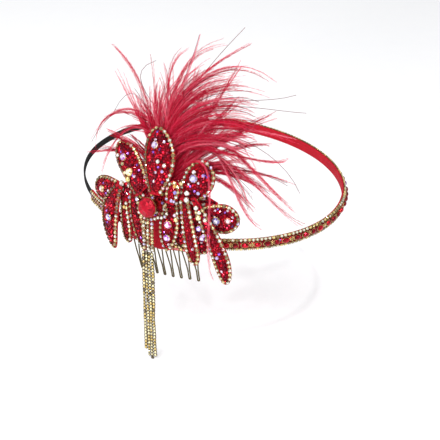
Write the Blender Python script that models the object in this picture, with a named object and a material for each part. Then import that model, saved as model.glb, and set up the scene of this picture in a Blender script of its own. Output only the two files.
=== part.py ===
"""Feather headpiece: a rhinestone band with a beaded flower, a plume, a chain tassel and a wire hair comb.

The band is a whole loop, tilted a little, that sits round a head. The flower, the plume, the
tassel and the comb sit on the wearer's right side. Axes: +Z up, the face looks along -Y, and
the wearer's right is -X. The origin is the middle of the band's loop.

Places on the head are given as (u, v, w) in millimetres: u runs forward round the head from the
wearer's right side, v runs up the head from the band's level, and w stands off the head.
"""

from collections import namedtuple
from math import cos, degrees, hypot, log, pi, radians, sin, sqrt

import bmesh
import bpy
from mathutils import Vector

MM = 0.001
GAP = 0.3

# The head that the piece is shaped to: half widths, the crown's rise and the taper below the band.
HEAD_SIDE = 76.0
HEAD_FRONT = 96.0
HEAD_RISE = 85.0
HEAD_DROP = 150.0
TURN_RADIUS = 92.0

# The band's tape, the elastic that closes the loop, and where each stretch runs, in degrees
# round the head from the wearer's right side towards the forehead.
BAND_TILT_X = 0.072
BAND_TILT_Y = 0.022
BAND_SWELL = 3.0
BAND_HEIGHT = 8.5
TAPE_INSIDE = 0.3
TAPE_THICK = 1.5
TAPE_FROM = -31.5
TAPE_TO = 207.0
FRONT_FROM = 34.5
BACK_TO = -8.5
ELASTIC_HEIGHT = 4.6
ELASTIC_INSIDE = 0.5
ELASTIC_THICK = 1.2
TURN_STEP = 5.0

# The band's stones: two edge chains with a row of red stones between them.
EDGE_RADIUS = 1.1
EDGE_SPACING = 7.0
STRIP_HALF = 1.7
STRIP_THICK = 0.8
MOTIF_LENGTH = 27.0
BandStone = namedtuple("BandStone", "along half_long half_high")
MOTIF = (
    BandStone(4.0, 2.3, 1.5),
    BandStone(10.4, 2.6, 1.6),
    BandStone(16.6, 1.9, 1.65),
    BandStone(22.8, 2.6, 1.6),
)
BAND_STONE_RISE = 1.9
BAND_STONE_SINK = 0.25
EDGE_STATIONS = 200

# The flower: felt petals in three layers on a felt base, each edged with a rhinestone chain.
FELT_THICK = 1.5
FELT_INSIDE = 2.1
PETAL_FELT = 1.0
PETAL_DOME = 1.7
CHAIN_RADIUS = 1.1
CHAIN_INSET = 1.25
CHAIN_SPACING = 5.2
DOME_INSET = 3.3
LAYER_PITCH = 3.75
LAYER_ONE = FELT_INSIDE + FELT_THICK + GAP
PETAL_STATIONS = 9
PETAL_LEAST = 0.35
SHOULDER_OUT = 0.62
SHOULDER_UP = 0.72
CHAIN_STATIONS = 120
CHAIN_LEAST = 1.65

Petal = namedtuple("Petal", "name base_u base_v tip_u tip_v half widest fullness root bow layer lift")
PETALS = (
    Petal("petal_top", 21.6, 23.7, 18.2, 62.8, 11.4, 0.60, 0.50, 0.30, 2.6, 3, 6.0),
    Petal("petal_upper_left", 11.0, 23.0, -15.6, 47.2, 8.8, 0.60, 0.50, 0.72, 1.6, 2, 3.0),
    Petal("petal_left_round", -11.5, 18.5, -36.8, 8.2, 8.4, 0.60, 0.50, 0.45, 0.0, 1, 0.0),
    Petal("petal_left_leaf", -8.0, 21.0, -13.5, -25.5, 7.4, 0.48, 0.50, 0.35, 4.8, 2, 0.0),
    Petal("petal_left_finger", -6.0, 13.0, -3.2, -18.5, 4.2, 0.70, 0.35, 0.55, 0.0, 1, 0.0),
    Petal("petal_lower_left", 0.8, 21.8, 10.0, -20.3, 5.2, 0.45, 0.60, 0.45, 0.0, 1, 0.0),
    Petal("petal_lower_middle", 32.5, 24.0, 28.5, -12.5, 6.5, 0.50, 0.60, 0.45, 0.0, 2, 0.0),
    Petal("petal_inner_leaf", 40.5, 20.0, 35.5, -10.5, 5.8, 0.60, 0.45, 0.50, 0.0, 1, 0.0),
    Petal("petal_centre_finger", 41.0, 26.0, 48.3, -17.2, 4.3, 0.72, 0.42, 0.62, 0.0, 3, 0.0),
    Petal("petal_lower_right", 45.4, 18.0, 52.0, -10.5, 8.0, 0.60, 0.45, 0.25, 0.0, 2, 0.0),
    Petal("petal_long_finger", 46.5, 26.5, 67.7, -29.5, 5.2, 0.70, 0.45, 0.25, -3.2, 3, 0.0),
    Petal("petal_right_oval", 49.0, 14.3, 75.5, 12.2, 9.6, 0.58, 0.50, 0.55, 0.0, 1, 0.0),
    Petal("petal_upper_right", 39.8, 23.4, 56.8, 46.8, 10.2, 0.58, 0.42, 0.40, 0.0, 2, 3.0),
    Petal("petal_inner_small", 32.0, 20.5, 34.6, 34.4, 4.6, 0.60, 0.45, 0.50, 0.0, 3, 0.0),
)

# The felt base under the flower, as its lower and upper edge at places round the head.
FeltEdge = namedtuple("FeltEdge", "u low high")
FELT_BASE = (
    FeltEdge(-13.0, 12.5, 19.5),
    FeltEdge(-6.0, 5.0, 24.0),
    FeltEdge(0.5, -14.6, 27.0),
    FeltEdge(9.0, -15.4, 28.0),
    FeltEdge(15.5, -16.0, 28.0),
    FeltEdge(21.5, -16.0, 28.0),
    FeltEdge(26.5, -14.6, 28.0),
    FeltEdge(38.0, -13.4, 28.0),
    FeltEdge(48.5, -12.6, 28.0),
    FeltEdge(53.0, 0.5, 27.0),
    FeltEdge(61.0, 3.0, 23.0),
)
FELT_ROWS = 6

# The centre stone, and the chain of small stones that runs under it and curls up beside it.
CENTRE_U = 18.1
CENTRE_V = 15.8
CENTRE_HALF_U = 6.4
CENTRE_HALF_V = 6.8
CENTRE_DEPTH = 2.6
CENTRE_RISE = 3.2
CENTRE_SIDES = 12
STEM_SHRINK = 0.45
RING_RADIUS = 1.0
RingPoint = namedtuple("RingPoint", "along up")
RING = (
    RingPoint(-8.2, -1.5),
    RingPoint(-7.0, -5.6),
    RingPoint(-3.6, -8.2),
    RingPoint(0.5, -8.6),
    RingPoint(4.4, -7.4),
    RingPoint(7.6, -5.6),
    RingPoint(10.6, -4.9),
    RingPoint(13.4, -3.2),
    RingPoint(14.3, -0.2),
    RingPoint(13.0, 2.6),
    RingPoint(10.4, 3.4),
)

# The main stones sewn on the petals, each with the layer of the petal that carries it.
MainStone = namedtuple("MainStone", "name u v radius layer lift")
MAIN_STONES = (
    MainStone("stone_middle_upper", 31.0, 7.6, 2.6, 2, 0.0),
    MainStone("stone_middle_lower", 30.2, -1.2, 2.3, 2, 0.0),
    MainStone("stone_right_upper", 50.3, 8.2, 2.0, 2, 0.0),
    MainStone("stone_right_lower", 52.2, 2.4, 2.0, 2, 0.0),
    MainStone("stone_oval_inner", 60.0, 12.6, 2.6, 1, 0.0),
    MainStone("stone_oval_outer", 67.6, 13.0, 2.0, 1, 0.0),
    MainStone("stone_upper_left", -6.6, 39.6, 2.3, 2, 1.2),
    MainStone("stone_left_upper", 0.6, 32.4, 2.6, 2, 0.4),
    MainStone("stone_left_round", -25.0, 12.8, 2.2, 1, 0.0),
    MainStone("stone_left_leaf", -13.2, -1.0, 2.3, 2, 0.0),
    MainStone("stone_top", 19.4, 52.0, 2.3, 3, 3.5),
    MainStone("stone_upper_right", 46.6, 37.4, 2.6, 2, 1.0),
)
STONE_SIDES = 8

# The tassel: a short panel of three stone columns, then four chains.
TASSEL_U = 18.1
TASSEL_TOP_V = 7.2
TASSEL_PANEL_V = -13.4
TASSEL_W = 12.9
TASSEL_HALF = 4.2
TASSEL_THICK = 2.2
TASSEL_VALLEY = 0.55
TASSEL_ROWS = 5
STRAND_RADIUS = 0.9
STRAND_PITCH = 2.1
STRAND_POINTS = 12
Strand = namedtuple("Strand", "name length drift")
STRANDS = (
    Strand("tassel_strand_1", 77.0, 0.2),
    Strand("tassel_strand_2", 82.0, 0.6),
    Strand("tassel_strand_3", 83.5, 0.5),
    Strand("tassel_strand_4", 81.0, 0.4),
)

# The hair comb: a wire bar with eight hairpin teeth.
COMB_TEETH = 8
COMB_PITCH = 6.2
COMB_FIRST_U = 0.3
COMB_LEFT_V = -15.9
COMB_RIGHT_V = -14.3
COMB_TIP_V = -38.6
COMB_LEAN = 3.3
COMB_WIRE = 0.5
COMB_BAR = 0.85
COMB_W = 1.1
TOOTH_HALF_TOP = 2.0
TOOTH_HALF_TIP = 0.65
BAR_OVERHANG = 2.4
TOOTH_JOIN = 0.62
TOOTH_SHARES = (0.0, TOOTH_JOIN, 0.96)

# The plume: locks of ostrich frond that spread from a bound quill end behind the top petals.
# The arch lifts a lock's middle off the straight way to its tip, up the head.
PLUME_U = 24.0
PLUME_V = 33.0
PLUME_W = 3.3
QUILL_RADIUS = 2.4
LOCK_STATIONS = 7
LOCK_SIDES = 6
LOCK_BEND = 0.5
ROOT_SPREAD = 4.2
LOCK_TUCK = 5.8
LOCK_THIN = 1.6
LOCK_NARROW_ROOT = 0.34
LOCK_NARROW_TIP = 0.12
LOCK_SWELL = 0.66
ROOT_STAGGER = 0.37
QUILL_HEIGHTS = (-4.4, -1.5, 2.0)
QUILL_BROAD = 2.2
QUILL_THIN = 0.8
QUILL_SIDES = 8
Lock = namedtuple("Lock", "tip_x tip_y tip_z width arch")
LOCKS = (
    Lock(-84.0, 42.0, 40.0, 6.0, 16.0),
    Lock(-80.0, 30.0, 66.0, 9.0, 10.0),
    Lock(-66.0, 29.0, 113.0, 3.6, 0.0),
    Lock(-65.0, 14.0, 94.0, 10.0, 4.0),
    Lock(-60.0, -5.0, 106.0, 13.0, 0.0),
    Lock(-52.0, -17.0, 122.0, 6.0, 0.0),
    Lock(-54.0, -28.0, 113.0, 13.0, 0.0),
    Lock(-48.0, -36.0, 129.0, 6.0, 2.0),
    Lock(-46.0, -48.0, 110.0, 13.0, 4.0),
    Lock(-40.0, -66.0, 126.0, 6.0, 8.0),
    Lock(-44.0, -72.0, 103.0, 13.0, 10.0),
    Lock(-40.0, -88.0, 110.0, 6.0, 14.0),
    Lock(-42.0, -88.0, 88.0, 12.0, 14.0),
    Lock(-36.0, -104.0, 98.0, 5.0, 16.0),
    Lock(-36.0, -102.0, 68.0, 9.0, 18.0),
)
# Locks that droop over the side of the forehead, as places on the head.
Droop = namedtuple("Droop", "tip_u tip_v tip_w width arch")
DROOPS = (
    Droop(117.0, 34.0, 14.0, 6.0, 14.0),
    Droop(116.0, 9.0, 11.0, 5.0, 26.0),
    Droop(91.0, 9.0, 11.0, 5.0, 20.0),
)
DROOP_MIDDLE_W = 7.0

FINISHES = {
    "felt": ((0.55, 0.01, 0.03, 1.0), 0.95, 0.0),
    "beading": ((0.32, 0.0, 0.03, 1.0), 0.3, 0.1),
    "chain": ((0.80, 0.66, 0.36, 1.0), 0.25, 0.9),
    "stone": ((0.60, 0.35, 0.75, 1.0), 0.08, 0.2),
    "centre": ((0.62, 0.02, 0.05, 1.0), 0.15, 0.0),
    "ruby": ((0.50, 0.0, 0.02, 1.0), 0.1, 0.0),
    "elastic": ((0.01, 0.01, 0.01, 1.0), 0.8, 0.0),
    "comb": ((0.30, 0.24, 0.12, 1.0), 0.35, 1.0),
    "feather": ((0.50, 0.02, 0.06, 1.0), 0.9, 0.0),
}


def clear_scene():
    for thing in list(bpy.data.objects):
        bpy.data.objects.remove(thing, do_unlink=True)


def new_collection(name):
    group = bpy.data.collections.new(name)
    bpy.context.scene.collection.children.link(group)
    return group


def finish(name, kind):
    """A sub-part's own material."""
    colour, roughness, metallic = FINISHES[kind]
    material = bpy.data.materials.new(name + "_finish")
    material.use_nodes = True
    shader = material.node_tree.nodes["Principled BSDF"]
    shader.inputs["Base Color"].default_value = colour
    shader.inputs["Roughness"].default_value = roughness
    shader.inputs["Metallic"].default_value = metallic
    material.diffuse_color = colour
    return material


def place(name, mesh, kind, group):
    thing = bpy.data.objects.new(name, mesh)
    mesh.materials.append(finish(name, kind))
    group.objects.link(thing)
    return thing


def hide_cutter(thing):
    thing.hide_render = True
    thing.display_type = "WIRE"


def on_head(u, v, w):
    """The point in metres at u round the head, v up it and w off it."""
    turn = u / TURN_RADIUS
    if v >= 0:
        z = HEAD_RISE * sin(v / HEAD_RISE)
        shrink = cos(v / HEAD_RISE)
        depth = HEAD_RISE
    else:
        z = v
        shrink = sqrt(1.0 - (v / HEAD_DROP) ** 2)
        depth = HEAD_DROP
    point = Vector((-HEAD_SIDE * shrink * cos(turn), -HEAD_FRONT * shrink * sin(turn), z))
    normal = Vector((point.x / HEAD_SIDE**2, point.y / HEAD_FRONT**2, point.z / depth**2))
    return (point + normal.normalized() * w) * MM


def band_level(turn_degrees):
    """The height of the band's middle line, in millimetres."""
    turn = radians(turn_degrees)
    return -BAND_TILT_X * HEAD_SIDE * cos(turn) - BAND_TILT_Y * HEAD_FRONT * sin(turn)


def on_band(turn_degrees, up, w):
    """A point on the band, which stands off the head's form a little over the forehead."""
    share = (turn_degrees - FRONT_FROM) / (TAPE_TO - FRONT_FROM)
    swell = BAND_SWELL * sin(pi * share) ** 2 if 0.0 < share < 1.0 else 0.0
    return on_head(TURN_RADIUS * radians(turn_degrees), band_level(turn_degrees) + up, w + swell)


def loft(name, sections):
    """A closed body through like sections, capped at both ends."""
    body = bmesh.new()
    rings = [[body.verts.new(point) for point in section] for section in sections]
    count = len(sections[0])
    for ring, after in zip(rings, rings[1:]):
        for i in range(count):
            j = (i + 1) % count
            body.faces.new((ring[i], ring[j], after[j], after[i]))
    body.faces.new(rings[0])
    body.faces.new(rings[-1])
    bmesh.ops.recalc_face_normals(body, faces=body.faces)
    bmesh.ops.triangulate(body, faces=[face for face in body.faces if len(face.verts) > 4])
    mesh = bpy.data.meshes.new(name)
    body.to_mesh(mesh)
    body.free()
    return mesh


def wire_curve(name, routes, radius, rounds=2):
    """Round wire along each route of points, as one curve."""
    curve = bpy.data.curves.new(name, "CURVE")
    curve.dimensions = "3D"
    curve.bevel_depth = radius * MM
    curve.bevel_resolution = rounds
    curve.use_fill_caps = True
    for route in routes:
        spline = curve.splines.new("POLY")
        spline.points.add(len(route) - 1)
        for slot, point in zip(spline.points, route):
            slot.co = (*point, 1.0)
    return curve


def wire_mesh(name, routes, radius, rounds=2):
    """The same wire as a mesh with welded caps, for a Boolean."""
    thing = bpy.data.objects.new(name, wire_curve(name, routes, radius, rounds))
    bpy.context.scene.collection.objects.link(thing)
    graph = bpy.context.evaluated_depsgraph_get()
    mesh = bpy.data.meshes.new_from_object(thing.evaluated_get(graph))
    bpy.data.objects.remove(thing, do_unlink=True)
    body = bmesh.new()
    body.from_mesh(mesh)
    bmesh.ops.remove_doubles(body, verts=body.verts, dist=0.00001)
    body.to_mesh(mesh)
    body.free()
    return mesh


def join_on(thing, cutter):
    """Fuse a second body onto a thing."""
    union = thing.modifiers.new("join_" + cutter.name, "BOOLEAN")
    union.operation = "UNION"
    union.object = cutter
    return union


def even_route(points, spacing):
    """Points a near-even spacing apart along a line of points, both ends kept."""
    runs = [0.0]
    for a, b in zip(points, points[1:]):
        runs.append(runs[-1] + (b - a).length)
    count = max(2, round(runs[-1] / (spacing * MM)))
    route = []
    k = 0
    for step in range(count + 1):
        reach = runs[-1] * step / count
        while k < len(runs) - 2 and runs[k + 1] < reach:
            k += 1
        share = (reach - runs[k]) / (runs[k + 1] - runs[k])
        route.append(points[k].lerp(points[k + 1], share))
    return route


def strap_sections(from_turn, to_turn, half_height, inside, thick):
    """Rectangular sections of a strap round the head at the band's level."""
    steps = round((to_turn - from_turn) / TURN_STEP)
    sections = []
    for step in range(steps + 1):
        turn = from_turn + (to_turn - from_turn) * step / steps
        corners = ((-half_height, inside), (half_height, inside))
        corners += ((half_height, inside + thick), (-half_height, inside + thick))
        sections.append([on_band(turn, up, w) for up, w in corners])
    return sections


def make_band(parts, cutters):
    tape = strap_sections(TAPE_FROM, TAPE_TO, BAND_HEIGHT / 2, TAPE_INSIDE, TAPE_THICK)
    place("band_tape", loft("band_tape", tape), "felt", parts)

    gap_turn = degrees(GAP / HEAD_FRONT)
    elastic_from = TAPE_TO + gap_turn
    elastic_to = TAPE_FROM + 360.0 - gap_turn
    strap = strap_sections(elastic_from, elastic_to, ELASTIC_HEIGHT / 2, ELASTIC_INSIDE, ELASTIC_THICK)
    place("elastic", loft("elastic", strap), "elastic", parts)

    base = TAPE_INSIDE + TAPE_THICK + GAP
    chain_up = BAND_HEIGHT / 2 - EDGE_RADIUS
    for name, side in (("band_edge_upper", 1), ("band_edge_lower", -1)):
        step = (TAPE_TO - FRONT_FROM) / EDGE_STATIONS
        fine = [FRONT_FROM + step * i for i in range(EDGE_STATIONS + 1)]
        line = [on_band(turn, side * chain_up, base + EDGE_RADIUS) for turn in fine]
        route = even_route(line, EDGE_SPACING)
        place(name, wire_curve(name, [route], EDGE_RADIUS), "chain", parts)

    strip = strap_sections(FRONT_FROM, TAPE_TO, STRIP_HALF, base, STRIP_THICK)
    band = place("band_stones", loft("band_stones", strip), "ruby", parts)
    stones = place("band_stone_row", band_stone_row(base), "ruby", cutters)
    hide_cutter(stones)
    join_on(band, stones)

    back = strap_sections(TAPE_FROM, BACK_TO, BAND_HEIGHT / 2, base, STRIP_THICK + BAND_STONE_RISE - GAP)
    place("band_back_stones", loft("band_back_stones", back), "chain", parts)


def cut_stone(centre, out, along, half_long, half_high, depth, rise, sides, rim=True):
    """Sections of a cut stone on its setting: base, rim, girdle and table."""
    up = out.cross(along).normalized()
    levels = [(0.86, 0.0), (1.0, depth)] if rim else [(1.0, 0.0)]
    levels += [(0.94, depth + rise * 0.35), (0.56, depth + rise)]
    sections = []
    for size, height in levels:
        ring = []
        for i in range(sides):
            angle = 2 * pi * (i + 0.5) / sides
            offset = along * (half_long * size * cos(angle)) + up * (half_high * size * sin(angle))
            ring.append(centre + (offset + out * height) * MM)
        sections.append(ring)
    return sections


def axes_at(u, v):
    """Unit directions at a place on the head: out of it, and forward along it."""
    out = (on_head(u, v, 1.0) - on_head(u, v, 0.0)).normalized()
    ahead = on_head(u + 0.5, v, 0.0) - on_head(u - 0.5, v, 0.0)
    along = (ahead - out * ahead.dot(out)).normalized()
    return out, along


def band_stone_row(base):
    """All of the band's red stones, sunk a little into the strip that carries them."""
    step = 0.5
    run = 0.0
    turn = FRONT_FROM
    places = []
    while turn < TAPE_TO:
        places.append((run, turn))
        run += (on_band(turn + step, 0, base) - on_band(turn, 0, base)).length / MM
        turn += step
    length = run
    motifs = round(length / MOTIF_LENGTH)
    scale = length / (motifs * MOTIF_LENGTH)
    row = bmesh.new()
    for motif in range(motifs):
        for stone in MOTIF:
            reach = (motif * MOTIF_LENGTH + stone.along) * scale
            turn = next(t for distance, t in places if distance >= reach)
            u = TURN_RADIUS * radians(turn)
            out, along = axes_at(u, band_level(turn))
            centre = on_band(turn, 0.0, base + STRIP_THICK - BAND_STONE_SINK)
            depth = BAND_STONE_RISE * 0.45
            rise = BAND_STONE_RISE * 0.55
            size = (stone.half_long, stone.half_high, depth, rise)
            rings = cut_stone(centre, out, along, *size, STONE_SIDES, rim=False)
            row.from_mesh(loft("band_stone", rings))
    mesh = bpy.data.meshes.new("band_stone_row")
    row.to_mesh(mesh)
    row.free()
    return mesh


def leaf_shape(q, widest, fullness, root):
    """A leaf's half width as a share of its largest, at q along it, where root is the base's share."""
    if q <= 0.0 or q >= 1.0:
        return 0.0
    if q < widest:
        return root + (1.0 - root) * sin(pi / 2 * q / widest)
    return sin(pi * q ** (log(0.5) / log(widest))) ** fullness


def petal_place(petal, q, across, height):
    """A point on a petal, q along it, across its axis and height above its underside."""
    run_u = petal.tip_u - petal.base_u
    run_v = petal.tip_v - petal.base_v
    length = hypot(run_u, run_v)
    side_u = run_v / length
    side_v = -run_u / length
    shift = across + petal.bow * 4 * q * (1 - q)
    w = LAYER_ONE + (petal.layer - 1) * LAYER_PITCH + petal.lift * q * q + height
    return on_head(petal.base_u + run_u * q + side_u * shift, petal.base_v + run_v * q + side_v * shift, w)


def petal_half(petal, q, inset):
    """The petal's half width at q, for its outline drawn in by an inset all round."""
    length = hypot(petal.tip_u - petal.base_u, petal.tip_v - petal.base_v)
    inner_q = (q * length - inset) / (length - 2 * inset)
    return (petal.half - inset) * leaf_shape(inner_q, petal.widest, petal.fullness, petal.root)


def make_petal(petal, parts):
    """A felt leaf with a low dome of beading inside its edge."""
    sections = []
    for i in range(PETAL_STATIONS + 1):
        q = 0.5 - 0.5 * cos(pi * (0.04 + 0.92 * i / PETAL_STATIONS))
        half = max(petal_half(petal, q, 0.0), 2 * PETAL_LEAST)
        inner = petal_half(petal, q, DOME_INSET)
        dome = PETAL_DOME * min(1.0, inner / DOME_INSET)
        inner = max(inner, PETAL_LEAST)
        profile = (
            (-half, 0.0),
            (-0.5 * half, 0.0),
            (0.0, 0.0),
            (0.5 * half, 0.0),
            (half, 0.0),
            (half, PETAL_FELT),
            (inner, PETAL_FELT),
            (SHOULDER_OUT * inner, PETAL_FELT + SHOULDER_UP * dome),
            (0.0, PETAL_FELT + dome),
            (-SHOULDER_OUT * inner, PETAL_FELT + SHOULDER_UP * dome),
            (-inner, PETAL_FELT),
            (-half, PETAL_FELT),
        )
        sections.append([petal_place(petal, q, across, height) for across, height in profile])
    place(petal.name, loft(petal.name, sections), "beading", parts)


def make_petal_chain(petal, parts):
    """The rhinestone chain round a petal's edge, from one side of its base to the other."""
    height = PETAL_FELT + GAP + CHAIN_RADIUS
    stations = [0.5 - 0.5 * cos(pi * i / CHAIN_STATIONS) for i in range(CHAIN_STATIONS + 1)]
    wide = [q for q in stations if petal_half(petal, q, CHAIN_INSET) > CHAIN_LEAST]
    left = [petal_place(petal, q, -petal_half(petal, q, CHAIN_INSET), height) for q in wide]
    right = [petal_place(petal, q, petal_half(petal, q, CHAIN_INSET), height) for q in wide]
    length = hypot(petal.tip_u - petal.base_u, petal.tip_v - petal.base_v)
    tip = petal_place(petal, 1.0 - CHAIN_INSET / length, 0.0, height)
    route = even_route(left + [tip] + right[::-1], CHAIN_SPACING)
    name = petal.name.replace("petal", "chain")
    place(name, wire_curve(name, [route], CHAIN_RADIUS), "chain", parts)


def make_felt_base(parts):
    top = FELT_INSIDE + FELT_THICK
    sections = []
    for edge in FELT_BASE:
        heights = [edge.low + (edge.high - edge.low) * i / FELT_ROWS for i in range(FELT_ROWS + 1)]
        inner = [on_head(edge.u, v, FELT_INSIDE) for v in heights]
        outer = [on_head(edge.u, v, top) for v in reversed(heights)]
        sections.append(inner + outer)
    place("felt_base", loft("felt_base", sections), "felt", parts)


def make_stones(parts):
    for stone in MAIN_STONES:
        out, along = axes_at(stone.u, stone.v)
        w = LAYER_ONE + (stone.layer - 1) * LAYER_PITCH + stone.lift + PETAL_FELT + PETAL_DOME + GAP
        centre = on_head(stone.u, stone.v, w)
        size = stone.radius
        rings = cut_stone(centre, out, along, size, size, 0.5 * size, 0.45 * size, STONE_SIDES)
        place(stone.name, loft(stone.name, rings), "stone", parts)

    out, along = axes_at(CENTRE_U, CENTRE_V)
    centre = on_head(CENTRE_U, CENTRE_V, LAYER_ONE + 2 * LAYER_PITCH)
    size = (CENTRE_HALF_U, CENTRE_HALF_V, CENTRE_DEPTH, CENTRE_RISE)
    rings = cut_stone(centre, out, along, *size, CENTRE_SIDES)
    rings.insert(0, [point.lerp(centre, STEM_SHRINK) for point in rings[0]])
    rings.insert(0, [point - out * (2 * LAYER_PITCH * MM) for point in rings[0]])
    place("centre_stone", loft("centre_stone", rings), "centre", parts)

    up = out.cross(along)
    route = [centre + (along * point.along + up * point.up + out * RING_RADIUS) * MM for point in RING]
    place("centre_ring", wire_curve("centre_ring", [route], RING_RADIUS), "chain", parts)


def make_tassel(parts):
    """Three columns of stones in a panel, and four chains that hang straight down from it."""
    sections = []
    for i in range(TASSEL_ROWS + 1):
        v = TASSEL_TOP_V + (TASSEL_PANEL_V - TASSEL_TOP_V) * i / TASSEL_ROWS
        front = TASSEL_THICK
        column = 2 * TASSEL_HALF / 3
        profile = [(-TASSEL_HALF, 0.0), (TASSEL_HALF, 0.0)]
        for k in (2, 1, 0):
            right = -TASSEL_HALF + (k + 1) * column
            profile.append((right, TASSEL_VALLEY * front))
            profile.append((right - column / 2, front))
        profile.append((-TASSEL_HALF, TASSEL_VALLEY * front))
        back = TASSEL_W - front / 2
        sections.append([on_head(TASSEL_U + across, v, back + rise) for across, rise in profile])
    place("tassel_panel", loft("tassel_panel", sections), "chain", parts)

    count = len(STRANDS)
    for k, strand in enumerate(STRANDS):
        across = (k - (count - 1) / 2) * STRAND_PITCH
        top = on_head(TASSEL_U + across, TASSEL_PANEL_V, TASSEL_W)
        sideways = axes_at(TASSEL_U, TASSEL_PANEL_V)[1] * (strand.drift * MM)
        route = []
        for i in range(STRAND_POINTS):
            share = i / (STRAND_POINTS - 1)
            down = Vector((0.0, 0.0, -(GAP + strand.length * share) * MM))
            route.append(top + down + sideways * share**2)
        place(strand.name, wire_curve(strand.name, [route], STRAND_RADIUS), "chain", parts)


def make_comb(parts, cutters):
    last_u = COMB_FIRST_U + (COMB_TEETH - 1) * COMB_PITCH

    def bar_v(u):
        share = (u - COMB_FIRST_U) / (last_u - COMB_FIRST_U)
        return COMB_LEFT_V + (COMB_RIGHT_V - COMB_LEFT_V) * share

    ends = (COMB_FIRST_U - BAR_OVERHANG, last_u + BAR_OVERHANG)
    bar_line = [ends[0] + (ends[1] - ends[0]) * i / 10 for i in range(11)]
    bar = wire_mesh("hair_comb", [[on_head(u, bar_v(u), COMB_W) for u in bar_line]], COMB_BAR)
    comb = place("hair_comb", bar, "comb", parts)

    teeth = []
    for k in range(COMB_TEETH):
        u = COMB_FIRST_U + k * COMB_PITCH
        tip_v = COMB_TIP_V + bar_v(u) - COMB_LEFT_V
        route = []
        for side in (-1, 1):
            leg = []
            for share in TOOTH_SHARES:
                spread = max(0.0, 1.0 - share / TOOTH_JOIN)
                half = TOOTH_HALF_TIP + (TOOTH_HALF_TOP - TOOTH_HALF_TIP) * spread
                v = bar_v(u) + (tip_v - bar_v(u)) * share
                leg.append(on_head(u + COMB_LEAN * share + side * half, v, COMB_W))
            route += leg if side < 0 else leg[::-1]
        teeth.append(route)
    pins = place("comb_teeth", wire_mesh("comb_teeth", teeth, COMB_WIRE, 1), "comb", cutters)
    hide_cutter(pins)
    join_on(comb, pins)


def lock_sections(line, width):
    """Flat oval sections along a lock, narrow at the quill, full in the middle and fine at the tip."""
    sections = []
    count = len(line)
    for i, point in enumerate(line):
        share = i / (count - 1)
        ahead = (line[min(i + 1, count - 1)] - line[max(i - 1, 0)]).normalized()
        away = Vector((point.x / HEAD_SIDE, point.y / HEAD_FRONT, 0.6 * point.z / HEAD_RISE))
        thin = (away - ahead * away.dot(ahead)).normalized()
        broad = ahead.cross(thin)
        narrow = LOCK_NARROW_ROOT + (LOCK_NARROW_TIP - LOCK_NARROW_ROOT) * share
        swell = narrow + LOCK_SWELL * sin(pi * min(1.0, share / 1.1) ** 0.8)
        half_broad = 0.5 * width * swell * MM
        half_thin = min(0.5 * half_broad, LOCK_THIN * MM)
        ring = []
        for k in range(LOCK_SIDES):
            angle = 2 * pi * k / LOCK_SIDES
            ring.append(point + broad * (half_broad * cos(angle)) + thin * (half_thin * sin(angle)))
        sections.append(ring)
    return sections


def make_plume(parts, cutters):
    root = on_head(PLUME_U, PLUME_V, PLUME_W)
    out, along = axes_at(PLUME_U, PLUME_V)
    up = out.cross(along)
    if up.z < 0:
        up = -up
    stub = []
    for height in QUILL_HEIGHTS:
        ring = []
        for k in range(QUILL_SIDES):
            angle = 2 * pi * k / QUILL_SIDES
            reach = out * (QUILL_THIN * sin(angle)) + along * (QUILL_BROAD * cos(angle))
            ring.append(root + (up * height + reach * QUILL_RADIUS) * MM)
        stub.append(ring)
    plume = place("ostrich_plume", loft("ostrich_plume", stub), "feather", parts)

    count = len(LOCKS) + len(DROOPS)
    lines = []
    for k, lock in enumerate(LOCKS):
        start = root + (along * ROOT_SPREAD * (2 * k / (count - 1) - 1) - up * ROOT_STAGGER * (k % 3)) * MM
        tip = Vector((lock.tip_x, lock.tip_y, lock.tip_z)) * MM
        reach = tip - start
        flat = reach - out * reach.dot(out)
        bend = start + flat * LOCK_BEND + (up * lock.arch - out * LOCK_TUCK) * MM
        line = []
        for i in range(LOCK_STATIONS):
            q = i / (LOCK_STATIONS - 1)
            line.append(start * (1 - q) ** 2 + bend * (2 * q * (1 - q)) + tip * q**2)
        lines.append((line, lock.width))
    for k, droop in enumerate(DROOPS):
        root_u = PLUME_U + ROOT_SPREAD * (1.0 - 0.2 * k)
        line = []
        for i in range(LOCK_STATIONS):
            q = i / (LOCK_STATIONS - 1)
            u = root_u + (droop.tip_u - root_u) * q
            v = PLUME_V + (droop.tip_v - PLUME_V) * q + droop.arch * 4 * q * (1 - q)
            w = PLUME_W + (droop.tip_w - PLUME_W) * q**2 + DROOP_MIDDLE_W * sin(pi * q) ** 2 * q**2
            line.append(on_head(u, v, w))
        lines.append((line, droop.width))
    for k, (line, width) in enumerate(lines):
        name = f"plume_lock_{k + 1}"
        lock = place(name, loft(name, lock_sections(line, width)), "feather", cutters)
        hide_cutter(lock)
        join_on(plume, lock)


def build():
    clear_scene()
    parts = new_collection("feather_headpiece")
    cutters = new_collection("joining_pieces")
    make_band(parts, cutters)
    make_felt_base(parts)
    for petal in PETALS:
        make_petal(petal, parts)
        make_petal_chain(petal, parts)
    make_stones(parts)
    make_tassel(parts)
    make_comb(parts, cutters)
    make_plume(parts, cutters)


build()
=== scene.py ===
"""Feather headpiece, dressed for rendering.

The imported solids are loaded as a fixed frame. Each group of pieces is then built over its solids
in finer detail: felt, packed beads, cup-set stones, chain, comb wire, elastic and ostrich fronds.

Places on the head are (u, v, w) in millimetres: u runs forward round the head from the wearer's
right side, v runs up the head from the band's level, and w stands off the head.
"""

from collections import namedtuple
from math import pi, radians

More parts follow.
